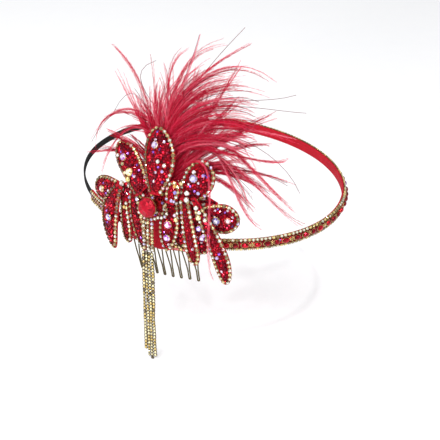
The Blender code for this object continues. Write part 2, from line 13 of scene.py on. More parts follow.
import bpy
import numpy as np
from bpy.props import FloatProperty, FloatVectorProperty, IntProperty, PointerProperty
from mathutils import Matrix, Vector


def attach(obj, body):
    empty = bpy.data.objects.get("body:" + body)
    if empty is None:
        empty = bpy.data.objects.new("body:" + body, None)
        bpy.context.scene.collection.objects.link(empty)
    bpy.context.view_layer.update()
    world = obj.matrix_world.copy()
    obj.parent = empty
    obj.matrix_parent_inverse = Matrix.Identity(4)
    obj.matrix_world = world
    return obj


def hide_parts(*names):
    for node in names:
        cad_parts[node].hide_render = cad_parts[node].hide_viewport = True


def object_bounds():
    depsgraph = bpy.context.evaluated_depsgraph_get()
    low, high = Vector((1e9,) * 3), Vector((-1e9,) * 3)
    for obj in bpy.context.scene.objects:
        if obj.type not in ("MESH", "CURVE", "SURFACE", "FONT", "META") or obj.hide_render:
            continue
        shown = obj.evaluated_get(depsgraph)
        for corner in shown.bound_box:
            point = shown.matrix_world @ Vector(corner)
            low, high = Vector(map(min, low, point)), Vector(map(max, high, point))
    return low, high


bl_info = {
    "name": "Feather headpiece",
    "version": (1, 0, 0),
    "blender": (4, 5, 0),
    "location": "3D View > Sidebar > Headpiece",
    "description": "Builds a rhinestone headband with a beaded flower, plume, tassel and comb",
    "category": "Add Mesh",
}

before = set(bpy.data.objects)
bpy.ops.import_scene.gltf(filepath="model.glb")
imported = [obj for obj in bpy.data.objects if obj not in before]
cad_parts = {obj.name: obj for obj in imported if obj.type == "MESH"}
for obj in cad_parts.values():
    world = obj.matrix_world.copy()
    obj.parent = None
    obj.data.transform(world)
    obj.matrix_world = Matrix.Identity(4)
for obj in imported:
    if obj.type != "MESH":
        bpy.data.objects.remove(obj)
cad_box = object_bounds()

MM = 0.001

# The head that the piece is shaped to, as in the part's source.
HEAD_SIDE = 76.0
HEAD_FRONT = 96.0
HEAD_RISE = 85.0
HEAD_DROP = 150.0
TURN_RADIUS = 92.0

# The band.
BAND_TILT_X = 0.072
BAND_TILT_Y = 0.022
BAND_SWELL = 3.0
BAND_HEIGHT = 8.5
TAPE_INSIDE = 0.3
TAPE_THICK = 1.5
TAPE_FROM = -31.5
TAPE_TO = 207.0
FRONT_FROM = 34.5
BACK_TO = -8.5
ELASTIC_HEIGHT = 4.6
ELASTIC_INSIDE = 0.5
ELASTIC_THICK = 1.2
EDGE_UP = 3.15
BAND_LEAN = 0.45
BAND_TOP = 1.95
STRIP_HALF = 1.7
STRIP_THICK = 0.8
BACK_ROWS = (-2.95, 0.0, 2.95)
BACK_PITCH = 2.75
BACK_RADIUS = 1.2
MOTIF_LENGTH = 27.0
BandStone = namedtuple("BandStone", "along half_long half_high")
MOTIF = (
    BandStone(4.0, 2.3, 1.5),
    BandStone(10.4, 2.6, 1.6),
    BandStone(16.6, 1.9, 1.65),
    BandStone(22.8, 2.6, 1.6),
)

# The flower's petals, in three layers.
FELT_INSIDE = 2.1
FELT_THICK = 1.5
PETAL_FELT = 1.0
PETAL_DOME = 1.7
DOME_INSET = 3.3
DOME_POWER = 2.6
CHAIN_INSET = 1.25
CHAIN_LEAST = 1.65
CHAIN_LEAN = 0.4
LAYER_PITCH = 3.75
LAYER_ONE = 3.9
Petal = namedtuple("Petal", "name base_u base_v tip_u tip_v half widest fullness root bow layer lift")
PETALS = (
    Petal("top", 21.6, 23.7, 18.2, 62.8, 11.4, 0.60, 0.50, 0.30, 2.6, 3, 6.0),
    Petal("upper_left", 11.0, 23.0, -15.6, 47.2, 8.8, 0.60, 0.50, 0.72, 1.6, 2, 3.0),
    Petal("left_round", -11.5, 18.5, -36.8, 8.2, 8.4, 0.60, 0.50, 0.45, 0.0, 1, 0.0),
    Petal("left_leaf", -8.0, 21.0, -13.5, -25.5, 7.4, 0.48, 0.50, 0.35, 4.8, 2, 0.0),
    Petal("left_finger", -6.0, 13.0, -3.2, -18.5, 4.2, 0.70, 0.35, 0.55, 0.0, 1, 0.0),
    Petal("lower_left", 0.8, 21.8, 10.0, -20.3, 5.2, 0.45, 0.60, 0.45, 0.0, 1, 0.0),
    Petal("lower_middle", 32.5, 24.0, 28.5, -12.5, 6.5, 0.50, 0.60, 0.45, 0.0, 2, 0.0),
    Petal("inner_leaf", 40.5, 20.0, 35.5, -10.5, 5.8, 0.60, 0.45, 0.50, 0.0, 1, 0.0),
    Petal("centre_finger", 41.0, 26.0, 48.3, -17.2, 4.3, 0.72, 0.42, 0.62, 0.0, 3, 0.0),
    Petal("lower_right", 45.4, 18.0, 52.0, -10.5, 8.0, 0.60, 0.45, 0.25, 0.0, 2, 0.0),
    Petal("long_finger", 46.5, 26.5, 67.7, -29.5, 5.2, 0.70, 0.45, 0.25, -3.2, 3, 0.0),
    Petal("right_oval", 49.0, 14.3, 75.5, 12.2, 9.6, 0.58, 0.50, 0.55, 0.0, 1, 0.0),
    Petal("upper_right", 39.8, 23.4, 56.8, 46.8, 10.2, 0.58, 0.42, 0.40, 0.0, 2, 3.0),
    Petal("inner_small", 32.0, 20.5, 34.6, 34.4, 4.6, 0.60, 0.45, 0.50, 0.0, 3, 0.0),
)
FeltEdge = namedtuple("FeltEdge", "u low high")
FELT_BASE = (
    FeltEdge(-13.0, 12.5, 19.5),
    FeltEdge(-6.0, 5.0, 24.0),
    FeltEdge(0.5, -14.6, 27.0),
    FeltEdge(9.0, -15.4, 28.0),
    FeltEdge(15.5, -16.0, 28.0),
    FeltEdge(21.5, -16.0, 28.0),
    FeltEdge(26.5, -14.6, 28.0),
    FeltEdge(38.0, -13.4, 28.0),
    FeltEdge(48.5, -12.6, 28.0),
    FeltEdge(53.0, 0.5, 27.0),
    FeltEdge(61.0, 3.0, 23.0),
)

# The band's red stones: how far they are over their solids' height across the band, and how high
# they stand.
JEWEL_PROUD = 1.2
JEWEL_HIGH = 2.3

# The small seeds beside the band's red stones, and the knots of gold seeds between them.
SEED_PITCH = 1.25
SEED_UP = 0.95
SEED_RADIUS = 0.62
KNOTS_ALONG = (0.4, 13.6)
KNOT_RADIUS = 0.72
KNOT_SEEDS = (
    (0.0, 0.0),
    (-1.15, 0.55),
    (1.15, 0.55),
    (-1.15, -0.55),
    (1.15, -0.55),
    (0.0, 1.2),
    (0.0, -1.2),
)

# The beads that fill the felt between the petals, and the part of it that is plain.
FIELD_PITCH = 2.15
FIELD_JEWELS = 0.16
PLAIN_FROM = 13.5
PLAIN_TO = 26.5
PLAIN_TOP = 8.0
CENTRE_CLEAR = 3.7

# The share of a petal's edge chain painted as lit, from its base down one side and up the other; the rest is
# painted shade.
PAINTED_LIT_EDGES = {
    "left_leaf": (0.22, 0.53),
    "upper_left": (0.46, 1.0),
    "top": (0.40, 1.0),
}

# The centre stone and the main stones.
CENTRE_U = 18.1
CENTRE_V = 15.8
CENTRE_HALF_U = 6.4
CENTRE_HALF_V = 6.8
CENTRE_HIGH = 5.8
SETTING_LEVELS = (
    (0.42, -1.29),
    (0.42, -0.1),
    (0.9, 0.0),
    (0.98, 0.1),
    (1.01, 0.24),
    (0.96, 0.26),
    (0.94, 0.15),
)
RING_CLOSER = 0.85
RING_RADIUS = 1.2
RingPoint = namedtuple("RingPoint", "along up")
RING = (
    RingPoint(-8.2, -1.5),
    RingPoint(-7.0, -5.6),
    RingPoint(-3.6, -8.2),
    RingPoint(0.5, -8.6),
    RingPoint(4.4, -7.4),
    RingPoint(7.6, -5.6),
    RingPoint(10.6, -4.9),
    RingPoint(13.4, -3.2),
    RingPoint(14.3, -0.2),
    RingPoint(13.0, 2.6),
    RingPoint(10.4, 3.4),
)
MainStone = namedtuple("MainStone", "name u v radius layer lift tint")
MAIN_STONES = (
    MainStone("middle_upper", 31.0, 7.6, 2.6, 2, 0.0, (0.80, 0.05, 0.45)),
    MainStone("middle_lower", 30.2, -1.2, 2.3, 2, 0.0, (0.50, 0.03, 0.75)),
    MainStone("right_upper", 50.3, 8.2, 2.0, 2, 0.0, (0.30, 0.12, 0.90)),
    MainStone("right_lower", 52.2, 2.4, 2.0, 2, 0.0, (0.35, 0.10, 0.55)),
    MainStone("oval_inner", 60.0, 12.6, 2.6, 1, 0.0, (0.18, 0.12, 0.50)),
    MainStone("oval_outer", 67.6, 13.0, 2.0, 1, 0.0, (0.70, 0.06, 0.12)),
    MainStone("upper_left", -6.6, 39.6, 2.3, 2, 1.2, (0.40, 0.05, 0.50)),
    MainStone("left_upper", 0.6, 32.4, 2.6, 2, 0.4, (0.98, 0.70, 0.22)),
    MainStone("left_round", -25.0, 12.8, 2.2, 1, 0.0, (0.55, 0.26, 0.06)),
    MainStone("left_leaf", -13.2, -1.0, 2.3, 2, 0.0, (0.22, 0.12, 0.55)),
    MainStone("top", 19.4, 52.0, 2.3, 3, 3.5, (0.35, 0.16, 0.55)),
    MainStone("upper_right", 46.6, 37.4, 2.6, 2, 1.0, (0.42, 0.34, 0.75)),
)

LooseStone = namedtuple("LooseStone", "u v radius tint")
LOOSE_STONES = (
    LooseStone(-9.5, 21.5, 2.0, (1.00, 0.97, 0.92)),
    LooseStone(-0.5, 27.5, 1.8, (1.00, 0.80, 0.26)),
    LooseStone(-4.0, 30.5, 1.2, (0.96, 0.80, 0.45)),
    LooseStone(-4.5, 7.5, 1.3, (0.95, 0.56, 0.12)),
    LooseStone(5.5, 16.0, 1.4, (0.66, 0.60, 1.00)),
    LooseStone(9.0, 19.5, 1.2, (1.00, 0.94, 0.90)),
    LooseStone(37.5, 33.0, 1.5, (1.00, 0.84, 0.44)),
    LooseStone(35.0, 31.5, 1.2, (0.95, 0.48, 0.10)),
    LooseStone(35.5, 28.0, 1.3, (0.36, 0.28, 0.85)),
    LooseStone(42.5, 28.4, 1.7, (1.00, 0.96, 0.92)),
    LooseStone(43.0, 25.0, 1.7, (1.00, 0.97, 0.93)),
    LooseStone(46.5, 23.0, 1.4, (1.00, 0.90, 0.72)),
    LooseStone(49.0, 21.0, 1.5, (1.00, 0.96, 0.92)),
    LooseStone(51.0, 18.6, 1.3, (1.00, 0.94, 0.84)),
    LooseStone(50.5, 15.5, 1.7, (1.00, 0.84, 0.42)),
    LooseStone(35.5, 11.0, 1.6, (1.00, 0.76, 0.34)),
    LooseStone(54.5, 14.5, 1.3, (1.00, 0.90, 0.70)),
    LooseStone(33.5, 23.0, 1.2, (0.66, 0.52, 0.95)),
    LooseStone(25.5, 54.8, 1.0, (0.50, 0.42, 0.98)),
    LooseStone(23.0, 43.5, 1.3, (1.00, 0.96, 0.92)),
    LooseStone(27.5, 42.0, 1.3, (1.00, 0.94, 0.94)),
    LooseStone(26.5, 38.5, 1.1, (0.60, 0.40, 0.92)),
    LooseStone(-12.5, 39.0, 1.2, (1.00, 0.94, 0.94)),
    LooseStone(-6.5, 35.5, 1.2, (0.42, 0.36, 0.16)),
    LooseStone(46.5, 41.0, 1.3, (0.98, 0.92, 0.96)),
    LooseStone(53.0, 39.5, 1.1, (0.55, 0.36, 0.92)),
    LooseStone(49.5, 29.0, 1.2, (0.58, 0.50, 1.00)),
    LooseStone(61.5, -9.0, 1.2, (0.56, 0.40, 0.92)),
    LooseStone(53.5, 5.0, 1.2, (0.62, 0.44, 1.00)),
    LooseStone(34.5, 13.5, 1.2, (0.80, 0.62, 0.98)),
)

# The tassel.
TASSEL_U = 18.1
TASSEL_TOP_V = 7.2
TASSEL_PANEL_V = -13.4
TASSEL_W = 12.9
TASSEL_HALF = 4.2
TASSEL_THICK = 2.2
PANEL_COLUMNS = 3
PANEL_PITCH = 2.85
PANEL_RADIUS = 1.3
STRAND_RADIUS = 0.9
STRAND_SPREAD = 0.32
STRAND_PITCH = 2.1
STRAND_GAP = 0.3
Strand = namedtuple("Strand", "length drift")
STRANDS = (Strand(77.0, 0.2), Strand(82.0, 0.6), Strand(83.5, 0.5), Strand(81.0, 0.4))

# The hair comb.
COMB_TEETH = 8
COMB_PITCH = 6.2
COMB_FIRST_U = 0.3
COMB_LEFT_V = -15.9
COMB_RIGHT_V = -14.3
COMB_TIP_V = -38.6
COMB_LEAN = 3.3
COMB_W = 1.1
BAR_OVERHANG = 2.4
TOOTH_HALF_TOP = 2.0
TOOTH_HALF_TIP = 0.65
TOOTH_JOIN = 0.62
TOOTH_END = 0.96
WIRE_RADIUS = 0.5
COIL_WIRE = 0.28
COIL_RADIUS = 0.72
COIL_PITCH = 0.66
COIL_END = 0.3

# The share of the plume's fronds that are bare brown stems, and their short barbules.
STEM_SHARE = 0.06
STEM_HAIR = 0.9

# The stem and the barbules of one frond, the pieces that the fronds are parted into, and how far
# fronds stray at the root: along the head and down it.
FROND_STATIONS = 16
FROND_RADIUS = 0.2
BARBULE_HALF = 0.09
PLUME_PARTS = 4
ROOT_STRAY = 1.8
ROOT_DROP = 3.0
LOCK_LOOSE = 1.7

# The quill's end: (height, size) levels and the half widths off the head and along it.
QUILL_LEVELS = ((-4.4, 0.7), (-3.9, 1.0), (-1.0, 1.05), (1.6, 0.9), (2.4, 0.5))
QUILL_HALF_OUT = 1.92
QUILL_HALF_ALONG = 5.28

# The plume's locks, as the solids have them.
PLUME_U = 24.0
PLUME_V = 33.0
PLUME_W = 3.3
LOCK_BEND = 0.5
ROOT_SPREAD = 4.2
LOCK_TUCK = 5.8
Lock = namedtuple("Lock", "tip_x tip_y tip_z width arch")
LOCKS = (
    Lock(-84.0, 42.0, 40.0, 6.0, 16.0),
    Lock(-80.0, 30.0, 66.0, 9.0, 10.0),
    Lock(-66.0, 29.0, 113.0, 3.6, 0.0),
    Lock(-65.0, 14.0, 94.0, 10.0, 4.0),
    Lock(-60.0, -5.0, 106.0, 13.0, 0.0),
    Lock(-52.0, -17.0, 122.0, 6.0, 0.0),
    Lock(-54.0, -28.0, 113.0, 13.0, 0.0),
    Lock(-48.0, -36.0, 129.0, 6.0, 2.0),
    Lock(-46.0, -48.0, 110.0, 13.0, 4.0),
    Lock(-40.0, -66.0, 126.0, 6.0, 8.0),
    Lock(-44.0, -72.0, 103.0, 13.0, 10.0),
    Lock(-40.0, -88.0, 110.0, 6.0, 14.0),
    Lock(-42.0, -88.0, 88.0, 12.0, 14.0),
    Lock(-36.0, -104.0, 98.0, 5.0, 16.0),
    Lock(-36.0, -102.0, 68.0, 9.0, 18.0),
)
Droop = namedtuple("Droop", "tip_u tip_v tip_w width arch")
DROOPS = (
    Droop(117.0, 34.0, 14.0, 6.0, 14.0),
    Droop(116.0, 9.0, 11.0, 5.0, 26.0),
    Droop(91.0, 9.0, 11.0, 5.0, 20.0),
)

# Clumps of fronds that show apart from the mass. Tone is 0 for deep and 1 for light, and -1 for a
# bare stem. Loose is how far the fronds stray from the clump's line, and forward is how far its tip
# stands in front of the plume's sheet, both in millimetres; without forward it hangs over the flower.
# The route is the places that its line passes on the way to its tip, read in the photograph as
# pixels to the right and down from its top left corner.
Clump = namedtuple("Clump", "name fronds tone loose forward route")
CLUMPS = (
    Clump("long_left", 5, 0.72, 0.75, 0.0, ((152, 118), (141, 85), (111, 43.5))),
    Clump("loop_stem", 1, -1.0, 0.3, 2.0, ((150, 100), (142, 86), (140.5, 73.6), (155.8, 61.3))),
    Clump("thin_up", 2, 0.45, 0.75, 0.0, ((156, 110), (154.5, 85), (152, 50.6))),
    Clump("short_curl", 3, 0.4, 0.75, 4.0, ((166, 105), (163, 84), (157.3, 69))),
    Clump("up_one", 5, 0.42, 0.75, 0.0, ((168, 110), (169, 84), (175.7, 58.3), (188, 47.6))),
    Clump("up_two", 5, 0.8, 0.75, 4.0, ((172, 112), (182, 89), (189.5, 63), (198.7, 34.5))),
    Clump("up_three", 8, 0.5, 1.2, 0.0, ((171, 110), (180, 76.6), (200, 53.7), (226, 43))),
    Clump("right_stem", 1, -1.0, 0.3, -4.0, ((185, 100), (211, 67.5), (226, 43), (244.6, 27))),
    Clump("right_one", 7, 0.62, 0.75, 3.0, ((178, 105), (188, 89), (212.5, 67.5), (234, 52), (252, 43))),
    Clump(
        "arch", 12, 0.55, 1.1, 8.0,
        ((173, 115), (189.5, 89), (215.5, 72), (237, 67.5), (258.4, 72), (276, 84.3)),
    ),
    Clump("right_two", 7, 0.5, 1.5, 2.0, ((175, 120), (200, 95), (230, 88), (268, 94))),
    Clump("right_three", 9, 0.3, 1.5, 6.0, ((175, 125), (205, 105), (235, 100), (260, 107))),
    Clump("right_stem_two", 1, -1.0, 0.3, 0.0, ((200, 105), (240, 102), (270, 98), (296, 95))),
    Clump("right_stem_three", 1, -1.0, 0.3, 0.0, ((200, 110), (240, 108), (280, 108), (306, 112))),
    Clump("right_four", 6, 0.6, 0.75, 2.0, ((178, 140), (212.5, 130), (243, 128), (266, 133), (299, 141))),
    Clump(
        "right_five", 8, 0.5, 0.75, 3.0,
        ((180, 150), (212.5, 151.6), (235.4, 154.7), (258.4, 160), (289, 158.5)),
    ),
    Clump(
        "down_one", 9, 0.5, 0.75, 4.0,
        ((185, 145), (222, 143), (250.7, 167), (273.7, 191.4), (298, 212)),
    ),
    Clump(
        "down_two", 5, 0.42, 0.75, 2.0,
        ((185, 150), (218, 155), (235.4, 167), (250.7, 182), (273.7, 202), (304, 225.5)),
    ),
    Clump(
        "down_three", 6, 0.6, 0.75, 4.0,
        ((185, 152), (220, 163.9), (233.9, 176), (237, 196), (244.6, 212.9), (264.5, 229.7)),
    ),
    Clump(
        "down_four", 5, 0.55, 0.75, 3.0,
        ((185, 150), (222, 160), (237, 173), (241.5, 191.4), (250, 208.3)),
    ),
    Clump("down_stem", 1, -1.0, 0.3, 4.0, ((190, 140), (240, 140), (266, 153), (286, 172), (300, 194))),
    Clump("crossing", 3, 0.85, 0.75, 9.0, ((180, 110), (223, 118), (241, 145), (257, 170))),
    Clump(
        "left_arch", 5, 0.45, 0.75, 0.0,
        ((150, 120), (130, 108.8), (111.4, 115), (99.2, 127), (91, 141)),
    ),
    Clump("left_arch_two", 4, 0.35, 0.75, 2.0, ((148, 120), (120, 112), (100, 127), (97, 150))),
    Clump("left_long", 4, 0.8, 0.75, 0.0, ((150, 132), (133, 127), (120.6, 133.3), (110, 150), (100, 175))),
    Clump("left_stem", 1, -1.0, 0.3, 0.0, ((150, 118), (134.4, 93.5), (122, 98), (113, 111.8))),
    Clump("left_clump", 8, 0.5, 1.5, 3.0, ((152, 122), (143, 105), (131, 88))),
    Clump("left_clump_two", 8, 0.4, 1.5, 0.0, ((152, 125), (140, 118), (118, 110))),
    Clump("left_low", 7, 0.25, 1.5, 0.0, ((150, 130), (138, 126), (126, 128), (114, 136))),
    Clump("core_one", 12, 0.3, 1.9, 4.0, ((165, 125), (180, 95), (205, 80), (222, 76))),
    Clump("core_two", 14, 0.35, 1.9, 7.0, ((168, 130), (190, 105), (215, 90), (238, 85))),
    Clump("core_three", 14, 0.28, 1.9, 9.0, ((170, 135), (195, 115), (225, 105), (248, 110))),
    Clump("core_four", 14, 0.35, 1.9, 11.0, ((172, 140), (200, 125), (228, 120), (252, 128))),
    Clump("core_five", 12, 0.42, 1.9, 10.0, ((172, 145), (200, 138), (225, 140), (248, 150))),
    Clump("core_six", 10, 0.4, 1.9, 3.0, ((160, 120), (162, 100), (168, 85), (176, 75))),
    Clump("core_seven", 9, 0.6, 1.9, 5.0, ((150, 120), (145, 100), (142, 88))),
    Clump("core_eight", 8, 0.5, 1.9, 5.0, ((155, 125), (153, 108), (150, 92))),
    Clump("core_nine", 11, 0.38, 1.9, 2.0, ((168, 118), (178, 92), (196, 72), (214, 62))),
    Clump("core_ten", 12, 0.5, 1.9, 6.0, ((170, 120), (186, 95), (208, 78), (234, 72))),
    Clump("core_eleven", 12, 0.36, 1.9, 4.0, ((172, 122), (192, 100), (218, 86), (248, 84))),
    Clump("core_twelve", 12, 0.58, 1.9, 8.0, ((174, 126), (198, 106), (226, 97), (254, 100))),
    Clump("core_thirteen", 12, 0.4, 1.9, 5.0, ((176, 130), (204, 113), (232, 108), (258, 113))),
    Clump("core_fourteen", 12, 0.52, 1.9, 12.0, ((178, 136), (206, 122), (234, 120), (258, 126))),
    Clump("core_fifteen", 12, 0.4, 1.9, 8.0, ((180, 142), (208, 132), (236, 132), (258, 140))),
    Clump("core_sixteen", 11, 0.6, 1.9, 13.0, ((182, 148), (208, 142), (232, 144), (254, 154))),
    Clump("core_seventeen", 10, 0.45, 1.9, 8.0, ((182, 150), (206, 150), (228, 156), (246, 168))),
    Clump("core_eighteen", 9, 0.7, 1.9, 4.0, ((158, 120), (156, 100), (160, 82))),
    Clump("core_nineteen", 9, 0.62, 1.9, 6.0, ((165, 118), (170, 96), (182, 80), (196, 72))),
    Clump(
        "front_droop", 3, 0.85, 0.75, None,
        ((205, 165), (209, 180), (210, 200), (209, 220), (208, 240), (211, 265), (216, 281)),
    ),
)

# Clumps looser than this are the plume's core. They have more fronds, which mix with their neighbours.
CORE_LOOSE = 1.8
CORE_MORE = 3
CORE_MIX = 0.55

# How the fronds of a clump differ: how far each of their four points strays, how much of the length
# is lost at most in neat clumps and in loose ones, and how the tone varies.
STRAY_SHARES = (0.9, 0.8, 0.9, 1.15)
NEAT_LOOSE = 1.0
NEAT_LOSS = 0.14
LOOSE_LOSS = 0.42
TONE_STRAY = 0.26

# How a clump's route gets its depth. In the plume's sheet it is told from one pixel, and the line
# stands clear of the head by more and more towards its tip. Over the flower it hangs at one distance
# off the head. The curve along the route is then found in a few rounds. Lengths are in millimetres.
SHEET_X = 160.0
SHEET_Y = 120.0
CLEAR_AT_ROOT = 4.0
CLEAR_GROWS = 6.0
CLEAR_STEP = 0.5
HANG_OFF = 15.5
HANG_FROM = 120.0
HANG_STEP = 0.1
FIT_ROUNDS = 30
FIT_SAMPLES = 400

# The camera, as the photograph was taken.
CAMERA_AZIMUTH = radians(-50.0)
CAMERA_ELEVATION = radians(28.0)
CAMERA_DISTANCE = 1.0
CAMERA_LENS = 116.2
SENSOR_WIDTH = 36.0
TARGET_RIGHT = 0.0074
TARGET_UP = -0.0295
PHOTO_SIDE = 440.0
FOCAL_PIXELS = CAMERA_LENS / SENSOR_WIDTH * PHOTO_SIDE
FLOOR_LEVEL = cad_box[0].z
Lamp = namedtuple("Lamp", "name azimuth elevation distance size energy")
LAMPS = (
    Lamp("Key", -85.0, 50.0, 1.1, 0.7, 6.0),
    Lamp("Fill", 10.0, 40.0, 1.3, 0.9, 3.0),
    Lamp("Back", 150.0, 55.0, 1.2, 0.8, 3.0),
    Lamp("Spark one", -40.0, 35.0, 1.1, 0.05, 1.6),
    Lamp("Spark two", -65.0, 20.0, 1.0, 0.04, 1.2),
    Lamp("Spark three", -20.0, 62.0, 1.0, 0.04, 1.2),
    Lamp("Spark four", -110.0, 35.0, 1.0, 0.04, 1.2),
)


def length(label, told, size):
    """A property for a length, given in millimetres."""
    return FloatProperty(name=label, description=told, default=size * MM, unit="LENGTH", precision=5)


def colour(label, told, tint):
    """A property for a colour."""
    return FloatVectorProperty(name=label, description=told, subtype="COLOR", default=tint)


class StoneSizes(bpy.types.PropertyGroup):
    edge_pitch: length("Petal chain pitch", "Distance between neighbouring stones on a petal's edge", 3.3)
    edge_radius: length("Petal chain stone", "Radius of a stone on a petal's edge", 1.28)
    band_pitch: length("Band chain pitch", "Distance between neighbouring stones on the band's edges", 2.7)
    band_radius: length("Band chain stone", "Radius of a stone on the band's edges", 1.2)
    bead_pitch: length("Bead pitch", "Distance between neighbouring beads on a petal", 1.9)
    bead_radius: length("Bead radius", "Radius of a cut bead on a petal", 1.08)
    strand_pitch: length("Tassel chain pitch", "Distance between neighbouring stones on a tassel chain", 2.4)


class PlumeSizes(bpy.types.PropertyGroup):
    fronds: IntProperty(
        name="Fronds in a clump",
        description="Fronds in each of the clumps that fill a lock of the plume",
        default=9,
        min=1,
        max=20,
    )
    barbules: IntProperty(
        name="Barbules",
        description="Fine hairs along each frond",
        default=100,
        min=10,
        max=160,
    )
    barbule_length: length("Barbule length", "Length of the fine hairs along a frond", 5.0)
    barbule_angle: FloatProperty(
        name="Barbule angle",
        description="Angle between a frond and the fine hairs on it",
        default=radians(13.0),
        subtype="ANGLE",
    )


class Colours(bpy.types.PropertyGroup):
    felt: colour("Felt", "Red felt and tape", (0.58, 0.006, 0.022))
    gold: colour("Cups", "Pale gold of the cups", (0.86, 0.62, 0.25))
    centre: colour("Centre", "Centre stone", (0.40, 0.003, 0.018))
    elastic: colour("Elastic", "Black elastic", (0.008, 0.008, 0.008))
    comb: colour("Comb", "Antique gold wire", (0.135, 0.105, 0.05))
    # The plume runs from deep near the quill to light at the tips; the deepening towards the quill is partly
    # painted shade in the dense mass near the flower.
    plume_dark: colour("Plume, deep", "Fronds near the quill", (0.44, 0.002, 0.016))
    plume_middle: colour("Plume, middle", "Most of the fronds", (0.88, 0.022, 0.088))
    plume_light: colour("Plume, light", "Fronds at their tips", (0.99, 0.31, 0.40))


# Places on the head, for whole arrays at once.


def unit(vectors):
    return vectors / np.maximum(np.linalg.norm(vectors, axis=-1, keepdims=True), 1e-12)


def dot(a, b):
    return np.sum(a * b, axis=-1, keepdims=True)


def on_head(u, v, w):
    """Points in metres at u round the head, v up it and w off it."""
    u, v, w = np.broadcast_arrays(np.asarray(u, float), np.asarray(v, float), np.asarray(w, float))
    turn = u / TURN_RADIUS
    above = v >= 0
    below = np.sqrt(np.maximum(0.0, 1.0 - (v / HEAD_DROP) ** 2))
    z = np.where(above, HEAD_RISE * np.sin(v / HEAD_RISE), v)
    shrink = np.where(above, np.cos(v / HEAD_RISE), below)
    depth = np.where(above, HEAD_RISE, HEAD_DROP)
    x = -HEAD_SIDE * shrink * np.cos(turn)
    y = -HEAD_FRONT * shrink * np.sin(turn)
    point = np.stack((x, y, z), axis=-1)
    normal = np.stack((x / HEAD_SIDE**2, y / HEAD_FRONT**2, z / depth**2), axis=-1)
    return (point + unit(normal) * w[..., None]) * MM


def head_axes(u, v):
    """Unit directions on the head: out of it, forward along it and up it."""
    out = unit(on_head(u, v, 1.0) - on_head(u, v, 0.0))
    ahead = on_head(np.asarray(u) + 0.5, v, 0.0) - on_head(np.asarray(u) - 0.5, v, 0.0)
    along = unit(ahead - out * dot(ahead, out))
    return out, along, np.cross(out, along)


def band_level(turn):
    return -BAND_TILT_X * HEAD_SIDE * np.cos(turn) - BAND_TILT_Y * HEAD_FRONT * np.sin(turn)


def on_band(degrees, up, w):
    """Points on the band, which stands off the head's form a little over the forehead."""
    turn = np.radians(degrees)
    share = np.clip((degrees - FRONT_FROM) / (TAPE_TO - FRONT_FROM), 0.0, 1.0)
    return on_head(TURN_RADIUS * turn, band_level(turn) + up, w + BAND_SWELL * np.sin(pi * share) ** 2)


def leaf_shape(q, widest, fullness, root):
    """A leaf's half width as a share of its largest, at q along it, where root is the base's share."""
    inside = np.clip(q, 0.0, 1.0)
    towards_base = root + (1.0 - root) * np.sin(pi / 2 * inside / widest)
    towards_tip = np.maximum(np.sin(pi * inside ** (np.log(0.5) / np.log(widest))), 0.0) ** fullness
    shape = np.where(inside < widest, towards_base, towards_tip)
    return np.where((q <= 0.0) | (q >= 1.0), 0.0, shape)


def petal_length(petal):
    return float(np.hypot(petal.tip_u - petal.base_u, petal.tip_v - petal.base_v))


def petal_half(petal, q, inset):
    length = petal_length(petal)
    inner_q = (q * length - inset) / (length - 2 * inset)
    return (petal.half - inset) * leaf_shape(inner_q, petal.widest, petal.fullness, petal.root)


def petal_place(petal, q, across, height):
    """Points on a petal, q along it, across its axis and height above its underside."""
    length = petal_length(petal)
    run_u = petal.tip_u - petal.base_u
    run_v = petal.tip_v - petal.base_v
    shift = across + petal.bow * 4 * q * (1 - q)
    w = LAYER_ONE + (petal.layer - 1) * LAYER_PITCH + petal.lift * q * q + height
    u = petal.base_u + run_u * q + run_v / length * shift
    v = petal.base_v + run_v * q - run_u / length * shift
    return on_head(u, v, w)


def dome_height(petal, q, across):
    """Height of a petal's padded top over its underside."""
    inner = np.maximum(petal_half(petal, q, DOME_INSET), 0.35)
    rise = PETAL_DOME * np.minimum(1.0, inner / DOME_INSET)
    share = np.minimum(1.0, np.abs(across) / inner)
    return PETAL_FELT + rise * (1.0 - share**DOME_POWER)


# Meshes from arrays.


class Heap:
    """Many bodies gathered into one mesh, each face with a tint of its own."""

    def __init__(self):
        self.verts = []
        self.corners = []
        self.sizes = []
        self.tints = []
        self.smooth = []
        self.count = 0

    def add(self, verts, corners, sizes, tints, smooth=False):
        verts = np.asarray(verts, float).reshape(-1, 3)
        sizes = np.asarray(sizes, np.int32)
        tints = np.broadcast_to(np.asarray(tints, float), (len(sizes), 3))
        self.verts.append(verts)
        self.corners.append(np.asarray(corners, np.int64) + self.count)
        self.sizes.append(sizes)
        self.tints.append(tints)
        self.smooth.append(np.full(len(sizes), smooth))
        self.count += len(verts)

    def thing(self, name, material):
        mesh = bpy.data.meshes.new(name)
        verts = np.concatenate(self.verts)
        corners = np.concatenate(self.corners)
        sizes = np.concatenate(self.sizes)
        tints = np.concatenate(self.tints)
        mesh.vertices.add(len(verts))
        mesh.vertices.foreach_set("co", verts.astype(np.float32).ravel())
        mesh.loops.add(len(corners))
        mesh.polygons.add(len(sizes))
        starts = np.concatenate(([0], np.cumsum(sizes)[:-1])).astype(np.int32)
        mesh.polygons.foreach_set("loop_start", starts)
        mesh.loops.foreach_set("vertex_index", corners.astype(np.int32))
        mesh.polygons.foreach_set("use_smooth", np.concatenate(self.smooth))
        mesh.update(calc_edges=True)
        tint = mesh.attributes.new("tint", "FLOAT_COLOR", "CORNER")
        colours = np.ones((len(corners), 4), np.float32)
        colours[:, :3] = np.repeat(tints, sizes, axis=0)
        tint.data.foreach_set("color", colours.ravel())
        mesh.validate()
        mesh.materials.append(material)
        thing = bpy.data.objects.new(name, mesh)
        bpy.context.scene.collection.objects.link(thing)
        return thing


def place_piece(heap, name, material, nodes=()):
    """Turn a heap into a piece that rides on the frame and stands for its nodes."""
    thing = heap.thing(name, material)
    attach(thing, "root")
    if nodes:
        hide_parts(*nodes)
    return thing


